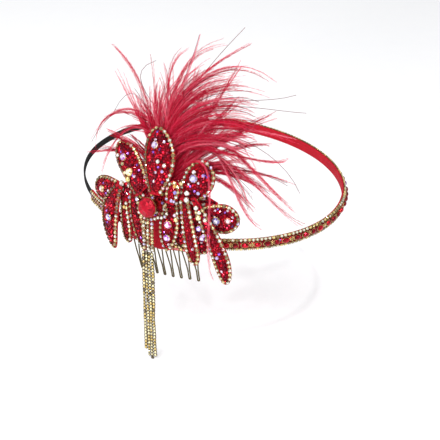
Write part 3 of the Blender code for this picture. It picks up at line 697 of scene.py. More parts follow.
Shape = namedtuple("Shape", "verts corners sizes")


def ring(sides, radius, height, turn=0.5):
    angle = 2 * pi * (np.arange(sides) + turn) / sides
    return np.column_stack((radius * np.cos(angle), radius * np.sin(angle), np.full(sides, height)))


def joined(*shapes):
    verts, corners, sizes = [], [], []
    count = 0
    for shape in shapes:
        verts.append(shape.verts)
        corners.append(np.asarray(shape.corners) + count)
        sizes.append(np.asarray(shape.sizes))
        count += len(shape.verts)
    return Shape(np.concatenate(verts), np.concatenate(corners), np.concatenate(sizes))


def from_faces(verts, faces):
    corners = np.array([i for face in faces for i in face])
    return Shape(np.asarray(verts, float), corners, np.array([len(face) for face in faces]))


def cut_shape(sides, levels):
    """A cut stone through (radius, height) levels, with three-sided facets between half-turned levels."""
    rings = []
    faces = []
    for k, (radius, height) in enumerate(levels):
        rings.append(ring(sides, radius, height, 0.5 * (k % 2)))
    for k in range(len(levels) - 1):
        for i in range(sides):
            j = (i + 1) % sides
            a, b = k * sides, (k + 1) * sides
            if k % 2 == 0:
                faces.append((a + i, a + j, b + i))
                faces.append((a + j, b + j, b + i))
            else:
                faces.append((a + i, a + j, b + j))
                faces.append((a + i, b + j, b + i))
    faces.append(tuple(range(sides))[::-1])
    top = (len(levels) - 1) * sides
    faces.append(tuple(range(top, top + sides)))
    return from_faces(np.concatenate(rings), faces)


def turned_shape(sides, levels):
    """A turned body through (radius, height) levels, capped at both ends."""
    rings = [ring(sides, radius, height) for radius, height in levels]
    faces = []
    for k in range(len(levels) - 1):
        for i in range(sides):
            j = (i + 1) % sides
            faces.append((k * sides + i, k * sides + j, (k + 1) * sides + j, (k + 1) * sides + i))
    faces.append(tuple(range(sides))[::-1])
    top = (len(levels) - 1) * sides
    faces.append(tuple(range(top, top + sides)))
    return from_faces(np.concatenate(rings), faces)


def box_shape(x0, x1, y0, y1, z0, z1, lean=0.0):
    """A block whose top leans inward along x by lean."""
    verts = [
        (x0, y0, z0), (x1, y0, z0), (x1, y1, z0), (x0, y1, z0),
        (x0 - lean, y0, z1), (x1 - lean, y0, z1), (x1 - lean, y1, z1), (x0 - lean, y1, z1),
    ]
    faces = [(3, 2, 1, 0), (4, 5, 6, 7), (0, 1, 5, 4), (1, 2, 6, 5), (2, 3, 7, 6), (3, 0, 4, 7)]
    return from_faces(verts, faces)


def turned_about(shape, angle):
    c, s = np.cos(angle), np.sin(angle)
    turn = np.array([[c, s, 0], [-s, c, 0], [0, 0, 1]])
    return Shape(shape.verts @ turn, shape.corners, shape.sizes)


ROUND_CUT = cut_shape(8, ((0.62, 0.12), (0.99, 0.5), (0.5, 0.88)))
FINE_CUT = cut_shape(12, ((0.6, 0.0), (0.97, 0.34), (1.0, 0.44), (0.82, 0.66), (0.52, 0.84)))
BEAD_CUT = cut_shape(6, ((0.7, 0.0), (1.0, 0.34), (0.55, 0.74)))
LONG_CUT = cut_shape(8, ((0.7, 0.0), (1.0, 0.34), (0.84, 0.68), (0.36, 0.9)))
CUP_BODY = turned_shape(8, ((0.78, 0.0), (1.06, 0.16), (1.1, 0.5), (0.98, 0.58), (0.9, 0.4)))
CLAW = box_shape(0.86, 1.12, -0.17, 0.17, 0.4, 0.84, 0.24)
CLAWS = joined(*(turned_about(CLAW, pi / 2 * k + pi / 4) for k in range(4)))
CUP = joined(CUP_BODY, CLAWS)
LINK = box_shape(-1, 1, -1, 1, 0.08, 0.34)
LINK_HALF = 0.28
CHAIN_TILT = 0.07
FACET_MOST = 0.86
SEED = turned_shape(6, ((0.55, 0.0), (1.0, 0.5), (0.6, 1.0)))


def set_out(heap, shape, centres, x_axes, y_axes, z_axes, scales, tints, smooth=False):
    """Copies of a shape at each centre. Tints are one for each face of each copy, or one for each copy."""
    count = len(centres)
    if count == 0:
        return
    scales = np.broadcast_to(np.asarray(scales, float), (count, 3))
    frames = np.stack((x_axes, y_axes, z_axes), axis=1)
    local = shape.verts[None] * scales[:, None, :]
    verts = centres[:, None, :] + np.einsum("nij,njk->nik", local, frames)
    corners = shape.corners[None] + (np.arange(count) * len(shape.verts))[:, None]
    sizes = np.tile(shape.sizes, count)
    tints = np.asarray(tints, float)
    if tints.ndim == 2 and len(tints) == count:
        tints = np.repeat(tints, len(shape.sizes), axis=0)
    elif tints.ndim == 3:
        tints = tints.reshape(-1, 3)
    heap.add(verts.reshape(-1, 3), corners.ravel(), sizes, tints, smooth)


def facet_glint_tints(random, base, faces, low, high):
    """One tint for each facet of each stone, brighter and darker round the stone's own: painted glints and
    painted shade on the facets.
    """
    shade = random.uniform(low, high, (len(base), faces, 1))
    return np.clip(base[:, None, :] * shade, 0.0, 1.0)


def spaced(points, outs, pitch):
    """Even places along a line: centres, directions along it and directions out."""
    runs = np.concatenate(([0.0], np.cumsum(np.linalg.norm(np.diff(points, axis=0), axis=1))))
    count = max(2, int(round(runs[-1] / pitch)))
    reach = (np.arange(count) + 0.5) * runs[-1] / count

    def at(values, where):
        return np.column_stack([np.interp(where, runs, values[:, k]) for k in range(3)])

    centres = at(points, reach)
    step = 0.3 * pitch
    ahead = unit(at(points, np.minimum(reach + step, runs[-1])) - at(points, np.maximum(reach - step, 0.0)))
    out = at(outs, reach)
    out = unit(out - ahead * dot(out, ahead))
    return centres, ahead, out


def tube(heap, points, radius, sides, tint):
    """A round rod along a line of points, capped at both ends."""
    ahead = unit(np.gradient(points, axis=0))
    side = np.cross(ahead[0], (0.0, 0.0, 1.0))
    if np.linalg.norm(side) < 0.1:
        side = np.cross(ahead[0], (1.0, 0.0, 0.0))
    sections = []
    angle = 2 * pi * np.arange(sides)[:, None] / sides
    for point, way in zip(points, ahead):
        side = side - way * np.dot(side, way)
        side = side / np.linalg.norm(side)
        other = np.cross(way, side)
        sections.append(point + radius * (np.cos(angle) * side + np.sin(angle) * other))
    skin(heap, np.array(sections), tint)


def skin(heap, sections, tints):
    """A closed body through sections of like points (stations, points, 3), capped at both ends."""
    stations, count = sections.shape[:2]
    i = np.arange(count)
    j = (i + 1) % count
    base = (np.arange(stations - 1) * count)[:, None]
    quads = np.stack((base + i, base + j, base + count + j, base + count + i), axis=-1).reshape(-1, 4)
    caps = np.concatenate((i[::-1], (stations - 1) * count + i))
    corners = np.concatenate((quads.ravel(), caps))
    sizes = np.concatenate((np.full(len(quads), 4), (count, count)))
    tints = np.asarray(tints, float)
    if tints.ndim == 2:
        tints = np.concatenate((np.tile(tints, (stations - 1, 1)), tints[:1], tints[:1]))
    heap.add(sections.reshape(-1, 3), corners, sizes, tints, True)


# Finishes.


class Wire:
    """A shader socket whose arithmetic adds Math nodes."""

    def __init__(self, finish, socket):
        self.finish = finish
        self.socket = socket

    def __add__(self, other):
        return self.finish.maths("ADD", self, other)

    def __radd__(self, other):
        return self.finish.maths("ADD", other, self)

    def __mul__(self, other):
        return self.finish.maths("MULTIPLY", self, other)

    def __rmul__(self, other):
        return self.finish.maths("MULTIPLY", other, self)


class Finish:
    """One material: a Principled shader with constants on its own sockets and detail from nodes."""

    def __init__(self, name, roughness, metallic=0.0, **constants):
        self.material = bpy.data.materials.new(name)
        self.material.use_nodes = True
        self.tree = self.material.node_tree
        self.shader = self.tree.nodes["Principled BSDF"]
        self.shader.inputs["Roughness"].default_value = roughness
        self.shader.inputs["Metallic"].default_value = metallic
        for key, value in constants.items():
            self.shader.inputs[key.replace("_", " ")].default_value = value

    def node(self, kind, settings, inputs, output=0):
        """A node of a kind, with its settings made first and then the values or links of its sockets."""
        node = self.tree.nodes.new(kind)
        for key, value in settings.items():
            setattr(node, key, value)
        for key, value in inputs.items():
            self.feed(node.inputs[key], value)
        return Wire(self, node.outputs[output])

    def feed(self, socket, value):
        if isinstance(value, Wire):
            self.tree.links.new(value.socket, socket)
        else:
            socket.default_value = value

    def maths(self, operation, *values):
        return self.node("ShaderNodeMath", {"operation": operation}, dict(enumerate(values)))

    def tint(self):
        return self.node("ShaderNodeAttribute", {"attribute_name": "tint"}, {}, "Color")

    def place(self):
        return self.node("ShaderNodeTexCoord", {}, {}, "Object")

    def noise(self, scale, detail=3.0, roughness=0.5):
        inputs = {"Vector": self.place(), "Scale": scale, "Detail": detail, "Roughness": roughness}
        return self.node("ShaderNodeTexNoise", {}, inputs, "Fac")

    def blend(self, share, first, second, mode="MIX"):
        settings = {"data_type": "RGBA", "blend_type": mode}
        return self.node("ShaderNodeMix", settings, {0: share, 6: first, 7: second}, 2)

    def bump(self, height, distance):
        inputs = {"Height": height, "Distance": distance, "Strength": 1.0}
        self.feed(self.shader.inputs["Normal"], self.node("ShaderNodeBump", {}, inputs))

    def colour(self, value):
        self.feed(self.shader.inputs["Base Color"], value)

    def rough(self, value):
        self.feed(self.shader.inputs["Roughness"], value)


def finish_for(name, make):
    """The material of that name, made once."""
    found = bpy.data.materials.get(name)
    return found if found else make(name)


def felt_finish(name):
    colours = bpy.context.scene.headpiece_colours
    finish = Finish(name, 0.95, Sheen_Weight=0.15, Sheen_Tint=(1.0, 0.25, 0.3, 1.0), Specular_IOR_Level=0.2)
    fibre = finish.noise(2600.0, 4.0, 0.65)
    cloud = finish.noise(180.0, 2.0)
    deep = (*[c * 0.55 for c in colours.felt], 1.0)
    mixed = finish.blend(fibre * 0.6 + cloud * 0.5, deep, (*colours.felt, 1.0))
    finish.colour(finish.blend(1.0, mixed, finish.tint(), "MULTIPLY"))
    finish.bump(fibre, 0.00025)
    return finish.material


def bead_finish(name):
    finish = Finish(name, 0.16, 0.8, Coat_Weight=0.15, Coat_Roughness=0.04, Specular_IOR_Level=0.5)
    smudge = finish.noise(420.0, 2.0)
    finish.colour(finish.tint())
    finish.rough(smudge * 0.22 + 0.06)
    return finish.material


def gold_finish(name):
    colours = bpy.context.scene.headpiece_colours
    finish = Finish(name, 0.25, 1.0)
    wear = finish.noise(700.0, 3.0, 0.6)
    worn = (*[c * 0.5 for c in colours.gold], 1.0)
    mixed = finish.blend(wear, worn, (*colours.gold, 1.0))
    finish.colour(finish.blend(1.0, mixed, finish.tint(), "MULTIPLY"))
    finish.rough(wear * 0.3 + 0.12)
    finish.bump(wear, 0.00006)
    return finish.material


def crystal_finish(name):
    finish = Finish(name, 0.06, 0.35, Coat_Weight=1.0, Coat_Roughness=0.02, Specular_IOR_Level=1.0)
    haze = finish.noise(260.0, 2.0)
    finish.colour(finish.tint())
    finish.rough(haze * 0.08 + 0.02)
    return finish.material


def centre_finish(name):
    finish = Finish(name, 0.35, 0.5, Coat_Weight=0.06, Coat_Roughness=0.2, Specular_IOR_Level=0.3)
    flaw = finish.noise(900.0, 2.0)
    finish.colour(finish.tint())
    finish.rough(flaw * 0.25 + 0.2)
    return finish.material


def elastic_finish(name):
    colours = bpy.context.scene.headpiece_colours
    finish = Finish(name, 0.85, Specular_IOR_Level=0.2)
    thread = finish.noise(3200.0, 2.0, 0.6)
    lit = (*[min(1.0, c * 3.5) for c in colours.elastic], 1.0)
    mixed = finish.blend(thread, (*colours.elastic, 1.0), lit)
    finish.colour(finish.blend(1.0, mixed, finish.tint(), "MULTIPLY"))
    finish.bump(thread, 0.00015)
    return finish.material


def comb_finish(name):
    colours = bpy.context.scene.headpiece_colours
    finish = Finish(name, 0.35, 1.0)
    patina = finish.noise(500.0, 4.0, 0.65)
    dark = (*[c * 0.25 for c in colours.comb], 1.0)
    finish.colour(finish.blend(patina, dark, (*[min(1.0, c * 1.5) for c in colours.comb], 1.0)))
    finish.rough(patina * 0.35 + 0.2)
    finish.bump(patina, 0.00005)
    return finish.material


def plume_finish(name):
    finish = Finish(name, 0.7, Specular_IOR_Level=0.15)
    streak = finish.noise(350.0, 2.0)
    finish.colour(finish.blend(streak * 0.25, finish.tint(), (0.50, 0.004, 0.02, 1.0)))
    return finish.material


def floor_finish(name):
    finish = Finish(name, 0.9)
    grain = finish.noise(60.0, 3.0)
    finish.colour(finish.blend(grain, (0.95, 0.95, 0.96, 1.0), (0.97, 0.97, 0.97, 1.0)))
    finish.bump(grain, 0.0001)
    return finish.material


# The pieces.


def strap(from_turn, to_turn, profile, stations):
    """Sections of a strap round the head through (up, w) points."""
    turns = np.linspace(from_turn, to_turn, stations)[:, None]
    up, w = np.array(profile, float).T
    return on_band(turns, up[None], w[None])


def round_strap_profile(half, inside, thick, across, wave=0.0, ribs=0):
    """A strap's outline with soft edges and, if asked for, ribs that run along it."""
    s = np.linspace(-1.0, 1.0, across)
    edge = np.sqrt(np.maximum(0.0, 1.0 - np.clip((np.abs(s) - 0.86) / 0.14, 0.0, 1.0) ** 2))
    middle = inside + thick / 2
    reach = thick / 2 * (0.25 + 0.75 * edge) - wave * (0.5 + 0.5 * np.cos(pi * ribs * (s + 1)))
    lower = np.column_stack((s * half, middle - reach))
    upper = np.column_stack((s * half, middle + reach))
    return np.concatenate((lower, upper[::-1]))


def make_straps():
    ribbon = Heap()
    profile = round_strap_profile(BAND_HEIGHT / 2 - 0.55, TAPE_INSIDE, TAPE_THICK, 15)
    skin(ribbon, strap(TAPE_FROM, TAPE_TO, profile, 180), (1.0, 1.0, 1.0))
    place_piece(ribbon, "band_ribbon", finish_for("Red felt", felt_finish), ["band_tape"])

    elastic = Heap()
    gap = np.degrees(0.3 / HEAD_FRONT)
    profile = round_strap_profile(ELASTIC_HEIGHT / 2, ELASTIC_INSIDE, ELASTIC_THICK, 57, 0.16, 14)
    skin(elastic, strap(TAPE_TO + gap, TAPE_FROM + 360.0 - gap, profile, 200), (1.0, 1.0, 1.0))
    finish = finish_for("Black elastic", elastic_finish)
    place_piece(elastic, "elastic_strap", finish, ["elastic"])


CRYSTAL_TINTS = (
    (0.38, (0.98, 0.92, 0.84)),
    (0.30, (0.90, 0.70, 0.36)),
    (0.20, (0.34, 0.19, 0.08)),
    (0.05, (0.70, 0.55, 0.92)),
    (0.07, (0.92, 0.50, 0.55)),
)
# Painted shade: dark stones for the stretches of petal chains turned away from the key light.
PAINTED_SHADE_TINTS = (
    (0.5, (0.16, 0.0, 0.014)),
    (0.35, (0.42, 0.0, 0.02)),
    (0.15, (0.30, 0.16, 0.07)),
)
RED_TINTS = (
    (0.50, (0.24, 0.0, 0.008)),
    (0.34, (0.44, 0.002, 0.014)),
    (0.11, (0.38, 0.010, 0.05)),
    (0.05, (0.45, 0.16, 0.5)),
)
BAND_TINTS = (
    (0.42, (1.0, 0.95, 0.76)),
    (0.36, (0.98, 0.78, 0.28)),
    (0.18, (0.34, 0.22, 0.06)),
    (0.04, (0.92, 0.50, 0.45)),
)
FIELD_TINTS = (
    (0.34, (0.98, 0.94, 0.90)),
    (0.30, (0.95, 0.66, 0.18)),
    (0.16, (0.55, 0.40, 0.95)),
    (0.20, (0.80, 0.08, 0.12)),
)
# Bead tints. The small violet and pale pink shares are painted glints, standing in for sparkles among the
# beads.
BEAD_TINTS = (
    (0.38, (0.160, 0.000, 0.014)),
    (0.28, (0.34, 0.000, 0.018)),
    (0.20, (0.62, 0.002, 0.022)),
    (0.08, (0.88, 0.012, 0.04)),
    (0.03, (0.30, 0.10, 0.55)),
    (0.03, (0.92, 0.70, 0.86)),
)
STRAND_TINTS = (
    (0.46, (1.0, 0.90, 0.52)),
    (0.46, (0.84, 0.60, 0.17)),
    (0.08, (0.13, 0.075, 0.015)),
)


def pick(random, table, count):
    """Base tints drawn from a table of (share, tint)."""
    shares = np.array([share for share, tint in table])
    tints = np.array([tint for share, tint in table])
    return tints[random.choice(len(table), count, p=shares / shares.sum())]


def cup_chain(
    random, cups, stones, points, outs, pitch, radius, table=CRYSTAL_TINTS, least=0.12, fill=1.0, gold=0.62
):
    """Stones in cups at an even pitch along a line."""
    centres, ahead, out = spaced(points, outs, pitch)
    side = np.cross(out, ahead)
    count = len(centres)
    # The cups are darkened by gold and at random: painted shade in the gaps between the stones.
    shade = gold * random.uniform(0.35, 1.0, (count, 1))
    set_out(cups, CUP, centres, ahead, side, out, radius, np.repeat(shade, 3, axis=1))
    if count > 1:
        middle = (centres[1:] + centres[:-1]) / 2
        reach = centres[1:] - centres[:-1]
        x = unit(reach)
        z = unit(out[1:] - x * dot(out[1:], x))
        half_long = np.linalg.norm(reach, axis=1) * 0.5
        half_wide = np.full(count - 1, LINK_HALF * radius)
        scale = np.column_stack((half_long, half_wide, np.full(count - 1, radius)))
        set_out(cups, LINK, middle, x, np.cross(z, x), z, scale, (0.8, 0.8, 0.8))
    tilt = random.normal(0.0, CHAIN_TILT, (count, 2))
    z = unit(out + ahead * tilt[:, :1] + side * tilt[:, 1:])
    x = unit(ahead - z * dot(ahead, z))
    base = pick(random, table, count)
    tints = facet_glint_tints(random, base, len(ROUND_CUT.sizes), least, FACET_MOST)
    # The table facet is kept near the stone's full tint, brighter than the other facets: a painted highlight.
    tints[:, -1] = base * random.uniform(0.85, 1.0, (count, 1))
    set_out(stones, ROUND_CUT, centres, x, np.cross(z, x), z, (radius * fill, radius * fill, radius), tints)


def place_chain(cups, stones, name, nodes):
    gold = finish_for("Pale gold", gold_finish)
    crystal = finish_for("Crystal", crystal_finish)
    place_piece(cups, name + "_cups", gold, nodes)
    place_piece(stones, name + "_crystals", crystal)


def band_outs(degrees, up):
    return unit(on_band(degrees, up, 1.0) - on_band(degrees, up, 0.0))


def make_band_stones():
    sizes = bpy.context.scene.headpiece_stones
    random = np.random.default_rng(11)
    degrees = np.linspace(FRONT_FROM, TAPE_TO, 700)
    for name, side in (("upper", 1), ("lower", -1)):
        cups, stones = Heap(), Heap()
        points = on_band(degrees, side * EDGE_UP, BAND_TOP)
        outs = band_outs(degrees, side * EDGE_UP)
        ahead = unit(np.gradient(points, axis=0))
        outs = unit(outs + BAND_LEAN * side * np.cross(outs, ahead))
        size = (sizes.band_pitch, sizes.band_radius)
        cup_chain(random, cups, stones, points, outs, *size, BAND_TINTS, gold=0.85)
        place_chain(cups, stones, "band_" + name, ["band_edge_" + name])

    strip = Heap()
    profile = round_strap_profile(STRIP_HALF, BAND_TOP, STRIP_THICK, 7)
    skin(strip, strap(FRONT_FROM, TAPE_TO, profile, 160), (0.20, 0.0, 0.01))
    knots = Heap()
    points = on_band(degrees, 0.0, BAND_TOP + STRIP_THICK - 0.1)
    runs = np.concatenate(([0.0], np.cumsum(np.linalg.norm(np.diff(points, axis=0), axis=1)))) / MM
    motifs = int(round(runs[-1] / MOTIF_LENGTH))
    scale = runs[-1] / (motifs * MOTIF_LENGTH)
    jewel_at, jewel_size, knot_at = [], [], []
    for motif in range(motifs):
        for stone in MOTIF:
            jewel_at.append((motif * MOTIF_LENGTH + stone.along) * scale)
            jewel_size.append((stone.half_long, stone.half_high))
        for along in KNOTS_ALONG:
            knot_at.append((motif * MOTIF_LENGTH + along) * scale)

    def frame_at(reach, up=0.0, w=BAND_TOP + STRIP_THICK - 0.1):
        turn = np.interp(reach, runs, degrees)
        out = band_outs(turn, up)
        ahead = unit(on_band(turn + 0.2, up, w) - on_band(turn - 0.2, up, w))
        ahead = unit(ahead - out * dot(ahead, out))
        return on_band(turn, up, w), ahead, np.cross(out, ahead), out

    centres, ahead, side, out = frame_at(np.array(jewel_at))
    half = np.array(jewel_size) * MM
    count = len(centres)
    tilt = random.normal(0.0, 0.06, (count, 2))
    z = unit(out + ahead * tilt[:, :1] + side * tilt[:, 1:])
    x = unit(ahead - z * dot(ahead, z))
    base = pick(random, RED_TINTS, count)
    tints = facet_glint_tints(random, base, len(LONG_CUT.sizes), 0.2, 1.55)
    scale3 = np.column_stack((half[:, 0], half[:, 1] * JEWEL_PROUD, np.full(count, JEWEL_HIGH * MM)))
    set_out(strip, LONG_CUT, centres, x, np.cross(z, x), z, scale3, tints)
    rim = turned_shape(12, ((1.0, -0.1), (1.12, 0.05), (1.13, 0.38), (1.02, 0.42), (0.98, 0.2)))
    set_out(knots, rim, centres, ahead, side, out, scale3 * (1.0, 1.0, 0.65), (0.8, 0.8, 0.8))

    reach = np.arange(1.2, runs[-1], SEED_PITCH)
    reach = reach + random.uniform(-0.15, 0.15, len(reach))
    for up in (-SEED_UP, SEED_UP):
        centres, ahead, side, out = frame_at(reach, up)
        apart = np.abs(reach[:, None] - np.array(jewel_at))
        near = np.min(apart - np.array(jewel_size)[:, 0], axis=1)
        keep = near > 0.2
        tints = facet_glint_tints(random, pick(random, BEAD_TINTS, keep.sum()), len(SEED.sizes), 0.6, 1.3)
        set_out(strip, SEED, centres[keep], ahead[keep], side[keep], out[keep], SEED_RADIUS * MM, tints)
    for offset_run, offset_up in KNOT_SEEDS:
        centres, ahead, side, out = frame_at(np.array(knot_at) + offset_run, offset_up)
        shade = np.repeat(random.uniform(0.7, 1.0, (len(centres), 1)), 3, axis=1)
        set_out(knots, SEED, centres, ahead, side, out, KNOT_RADIUS * MM, shade, True)
    ruby = finish_for("Ruby beads", bead_finish)
    place_piece(strip, "band_jewels", ruby, ["band_stones"])
    place_piece(knots, "band_settings", finish_for("Pale gold", gold_finish))

    cups, stones = Heap(), Heap()
    back = np.linspace(TAPE_FROM, BACK_TO, 90)
    for up in BACK_ROWS:
        table = RED_TINTS if up == 0.0 else BAND_TINTS
        points = on_band(back, up, BAND_TOP)
        size = (BACK_PITCH * MM, BACK_RADIUS * MM)
        cup_chain(random, cups, stones, points, band_outs(back, up), *size, table=table)
    place_chain(cups, stones, "band_back", ["band_back_stones"])


def make_felt():
    felt = Heap()
    table = np.array(FELT_BASE)
    u = np.linspace(table[0, 0], table[-1, 0], 110)
    low = np.interp(u, table[:, 0], table[:, 1])
    high = np.interp(u, table[:, 0], table[:, 2])
    share = np.linspace(0.0, 1.0, 22)
    v = low[:, None] + (high - low)[:, None] * share
    lump = 0.12 * np.sin(u[:, None] * 1.7 + v * 0.9) * np.sin(u[:, None] * 0.6 - v * 1.3)
    inner = on_head(u[:, None], v, FELT_INSIDE)
    outer = on_head(u[:, None], v, FELT_INSIDE + FELT_THICK + lump)
    skin(felt, np.concatenate((inner, outer[:, ::-1]), axis=1), (1.0, 1.0, 1.0))
    place_piece(felt, "felt_backing", finish_for("Red felt", felt_finish), ["felt_base"])


def petal_spot(petal, u, v):
    """Where places on the head lie on a petal: q along it and across its axis."""
    length = petal_length(petal)
    run_u = petal.tip_u - petal.base_u
    run_v = petal.tip_v - petal.base_v
    q = ((u - petal.base_u) * run_u + (v - petal.base_v) * run_v) / length**2
    shift = ((u - petal.base_u) * run_v - (v - petal.base_v) * run_u) / length
    return q, shift - petal.bow * 4 * q * (1 - q)


def over_petal(petal, u, v, margin=0.0):
    """Whether places on the head lie on a petal, or within a margin of its edge."""
    q, across = petal_spot(petal, u, v)
    beyond = margin / petal_length(petal)
    inside = (q > -beyond) & (q < 1.0 + beyond)
    return inside & (np.abs(across) < petal_half(petal, np.clip(q, 0.0, 1.0), 0.0) + margin)


def top_at(u, v):
    """How far off the head the highest surface of the flower is."""
    top = FELT_INSIDE + FELT_THICK
    for petal in PETALS:
        if over_petal(petal, u, v):
            q, across = petal_spot(petal, u, v)
            level = LAYER_ONE + (petal.layer - 1) * LAYER_PITCH + petal.lift * q * q
            top = max(top, level + float(dome_height(petal, q, across)))
    return top


def make_field():
    """Beads and a few cup-set stones on the felt between the petals' bases."""
    sizes = bpy.context.scene.headpiece_stones
    random = np.random.default_rng(90)
    table = np.array(FELT_BASE)
    pitch = FIELD_PITCH
    rows = np.arange(-14.0, 27.0, pitch * 0.87)
    u, v = np.meshgrid(np.arange(-12.0, 60.0, pitch), rows)
    u = u + (np.arange(len(rows)) % 2)[:, None] * pitch / 2
    u, v = (part.ravel() + random.normal(0.0, 0.15, part.size) for part in (u, v))
    low = np.interp(u, table[:, 0], table[:, 1]) + 0.7
    high = np.interp(u, table[:, 0], table[:, 2]) - 0.7
    keep = (v > low) & (v < high)
    keep &= (u < PLAIN_FROM) | (u > PLAIN_TO) | (v > PLAIN_TOP)
    keep &= np.hypot(u - CENTRE_U, v - CENTRE_V) > CENTRE_CLEAR
    for petal in PETALS:
        if petal.layer == 1:
            keep &= ~over_petal(petal, u, v, 0.9)
    u, v = u[keep], v[keep]
    out, along, up = head_axes(u, v)
    centre = on_head(u, v, FELT_INSIDE + FELT_THICK - 0.1)
    hem = (v < np.interp(u, table[:, 0], table[:, 1]) + 3.0) & (u > PLAIN_TO)
    jewel = (random.random(len(u)) < FIELD_JEWELS) | hem
    spin = random.uniform(0.0, 2 * pi, (len(u), 1))
    x = along * np.cos(spin) + up * np.sin(spin)
    y = np.cross(out, x)

    beads, cups, stones = Heap(), Heap(), Heap()
    bead = ~jewel
    tints = facet_glint_tints(random, pick(random, BEAD_TINTS, bead.sum()), len(BEAD_CUT.sizes), 0.35, 1.5)
    set_out(beads, BEAD_CUT, centre[bead], x[bead], y[bead], out[bead], sizes.bead_radius, tints)
    place_piece(beads, "field_beads", finish_for("Ruby beads", bead_finish))
    radius = sizes.edge_radius
    set_out(cups, CUP, centre[jewel], x[jewel], y[jewel], out[jewel], radius, (0.6, 0.6, 0.6))
    base = pick(random, FIELD_TINTS, jewel.sum())
    tints = facet_glint_tints(random, base, len(ROUND_CUT.sizes), 0.2, 1.0)
    # The table keeps the stone's full tint: a painted highlight over the darker facets.
    tints[:, -1] = base
    set_out(stones, ROUND_CUT, centre[jewel], x[jewel], y[jewel], out[jewel], radius, tints)
    place_piece(cups, "field_cups", finish_for("Pale gold", gold_finish))
    place_piece(stones, "field_crystals", finish_for("Crystal", crystal_finish))


def leaf_sections(petal):
    """A petal's felt leaf with its padded top, as sections and a tint for each strip."""
    q = 0.5 - 0.5 * np.cos(pi * (0.035 + 0.93 * np.linspace(0.0, 1.0, 56)))
    half = np.maximum(petal_half(petal, q, 0.0), 0.7)[:, None]
    inner = np.maximum(petal_half(petal, q, DOME_INSET - 0.7), 0.35)[:, None]
    s = np.linspace(1.0, -1.0, 13)
    below = np.linspace(-1.0, 1.0, 7)
    across = [below * half, half, inner * s, -half]
    heights = [np.zeros((len(q), 7)), np.full((len(q), 1), PETAL_FELT)]
    heights.append(dome_height(petal, q[:, None], inner * s) - 0.25)
    heights.append(np.full((len(q), 1), PETAL_FELT))
    sections = petal_place(petal, q[:, None], np.concatenate(across, axis=1), np.concatenate(heights, axis=1))
    tints = np.ones((22, 3))
    # The padded top under the beads is tinted darker: painted shade between the beads.
    tints[8:20] = (0.5, 0.3, 0.4)
    return sections, tints


def bead_places(random, petal, pitch):
    """Packed places on a petal's padded top, with the directions of the surface there."""
    length = petal_length(petal)
    rows = np.arange(0.0, length, pitch * 0.87)
    qs, acrosses = [], []
    for k, run in enumerate(rows):
        across = np.arange(-petal.half - 1, petal.half + 1, pitch) + (k % 2) * pitch / 2
        qs.append(np.full(len(across), run / length))
        acrosses.append(across)
    q = np.concatenate(qs)
    across = np.concatenate(acrosses)
    q = q + random.normal(0.0, 0.10 * pitch / length, len(q))
    across = across + random.normal(0.0, 0.10 * pitch, len(q))
    keep = (q * length > 0.5) & (q < 0.98)
    q, across = q[keep], across[keep]
    bare = petal_half(petal, q, CHAIN_INSET) < CHAIN_LEAST
    limit = np.where(q * length < 3.3, petal_half(petal, q, 0.0) - 2.6, petal_half(petal, q, 2.75) - 0.15)
    limit = np.where(bare, petal_half(petal, q, 0.0) - 0.7, limit)
    keep = np.abs(across) < limit
    q, across = q[keep], across[keep]

    def surface(q, across):
        return petal_place(petal, q, across, dome_height(petal, q, across) - 0.3)

    centre = surface(q, across)
    along = unit(surface(q + 0.01, across) - surface(q - 0.01, across))
    side = surface(q, across + 0.2) - surface(q, across - 0.2)
    out = unit(np.cross(side, along))
    outward = petal_place(petal, q, across, 1.0) - petal_place(petal, q, across, 0.0)
    out = out * np.sign(dot(out, outward))
    return centre, along, out


def make_petals():
    sizes = bpy.context.scene.headpiece_stones
    for k, petal in enumerate(PETALS):
        random = np.random.default_rng(100 + k)
        leaf = Heap()
        sections, tints = leaf_sections(petal)
        skin(leaf, sections, tints)
        name = "petal_" + petal.name
        place_piece(leaf, "leaf_" + petal.name, finish_for("Red felt", felt_finish), [name])

        beads = Heap()
        centre, along, out = bead_places(random, petal, sizes.bead_pitch / MM)
        count = len(centre)
        spin = random.uniform(0.0, 2 * pi, (count, 1))
        tilt = random.normal(0.0, 0.20, (count, 2))
        side = np.cross(out, along)
        z = unit(out + along * tilt[:, :1] + side * tilt[:, 1:])
        x = along * np.cos(spin) + side * np.sin(spin)
        x = unit(x - z * dot(x, z))
        base = pick(random, BEAD_TINTS, count)
        tints = facet_glint_tints(random, base, len(BEAD_CUT.sizes), 0.35, 1.5)
        scale = sizes.bead_radius * random.uniform(0.85, 1.12, (count, 1)) * np.ones((1, 3))
        set_out(beads, BEAD_CUT, centre, x, np.cross(z, x), z, scale, tints)
        place_piece(beads, "beads_" + petal.name, finish_for("Ruby beads", bead_finish))


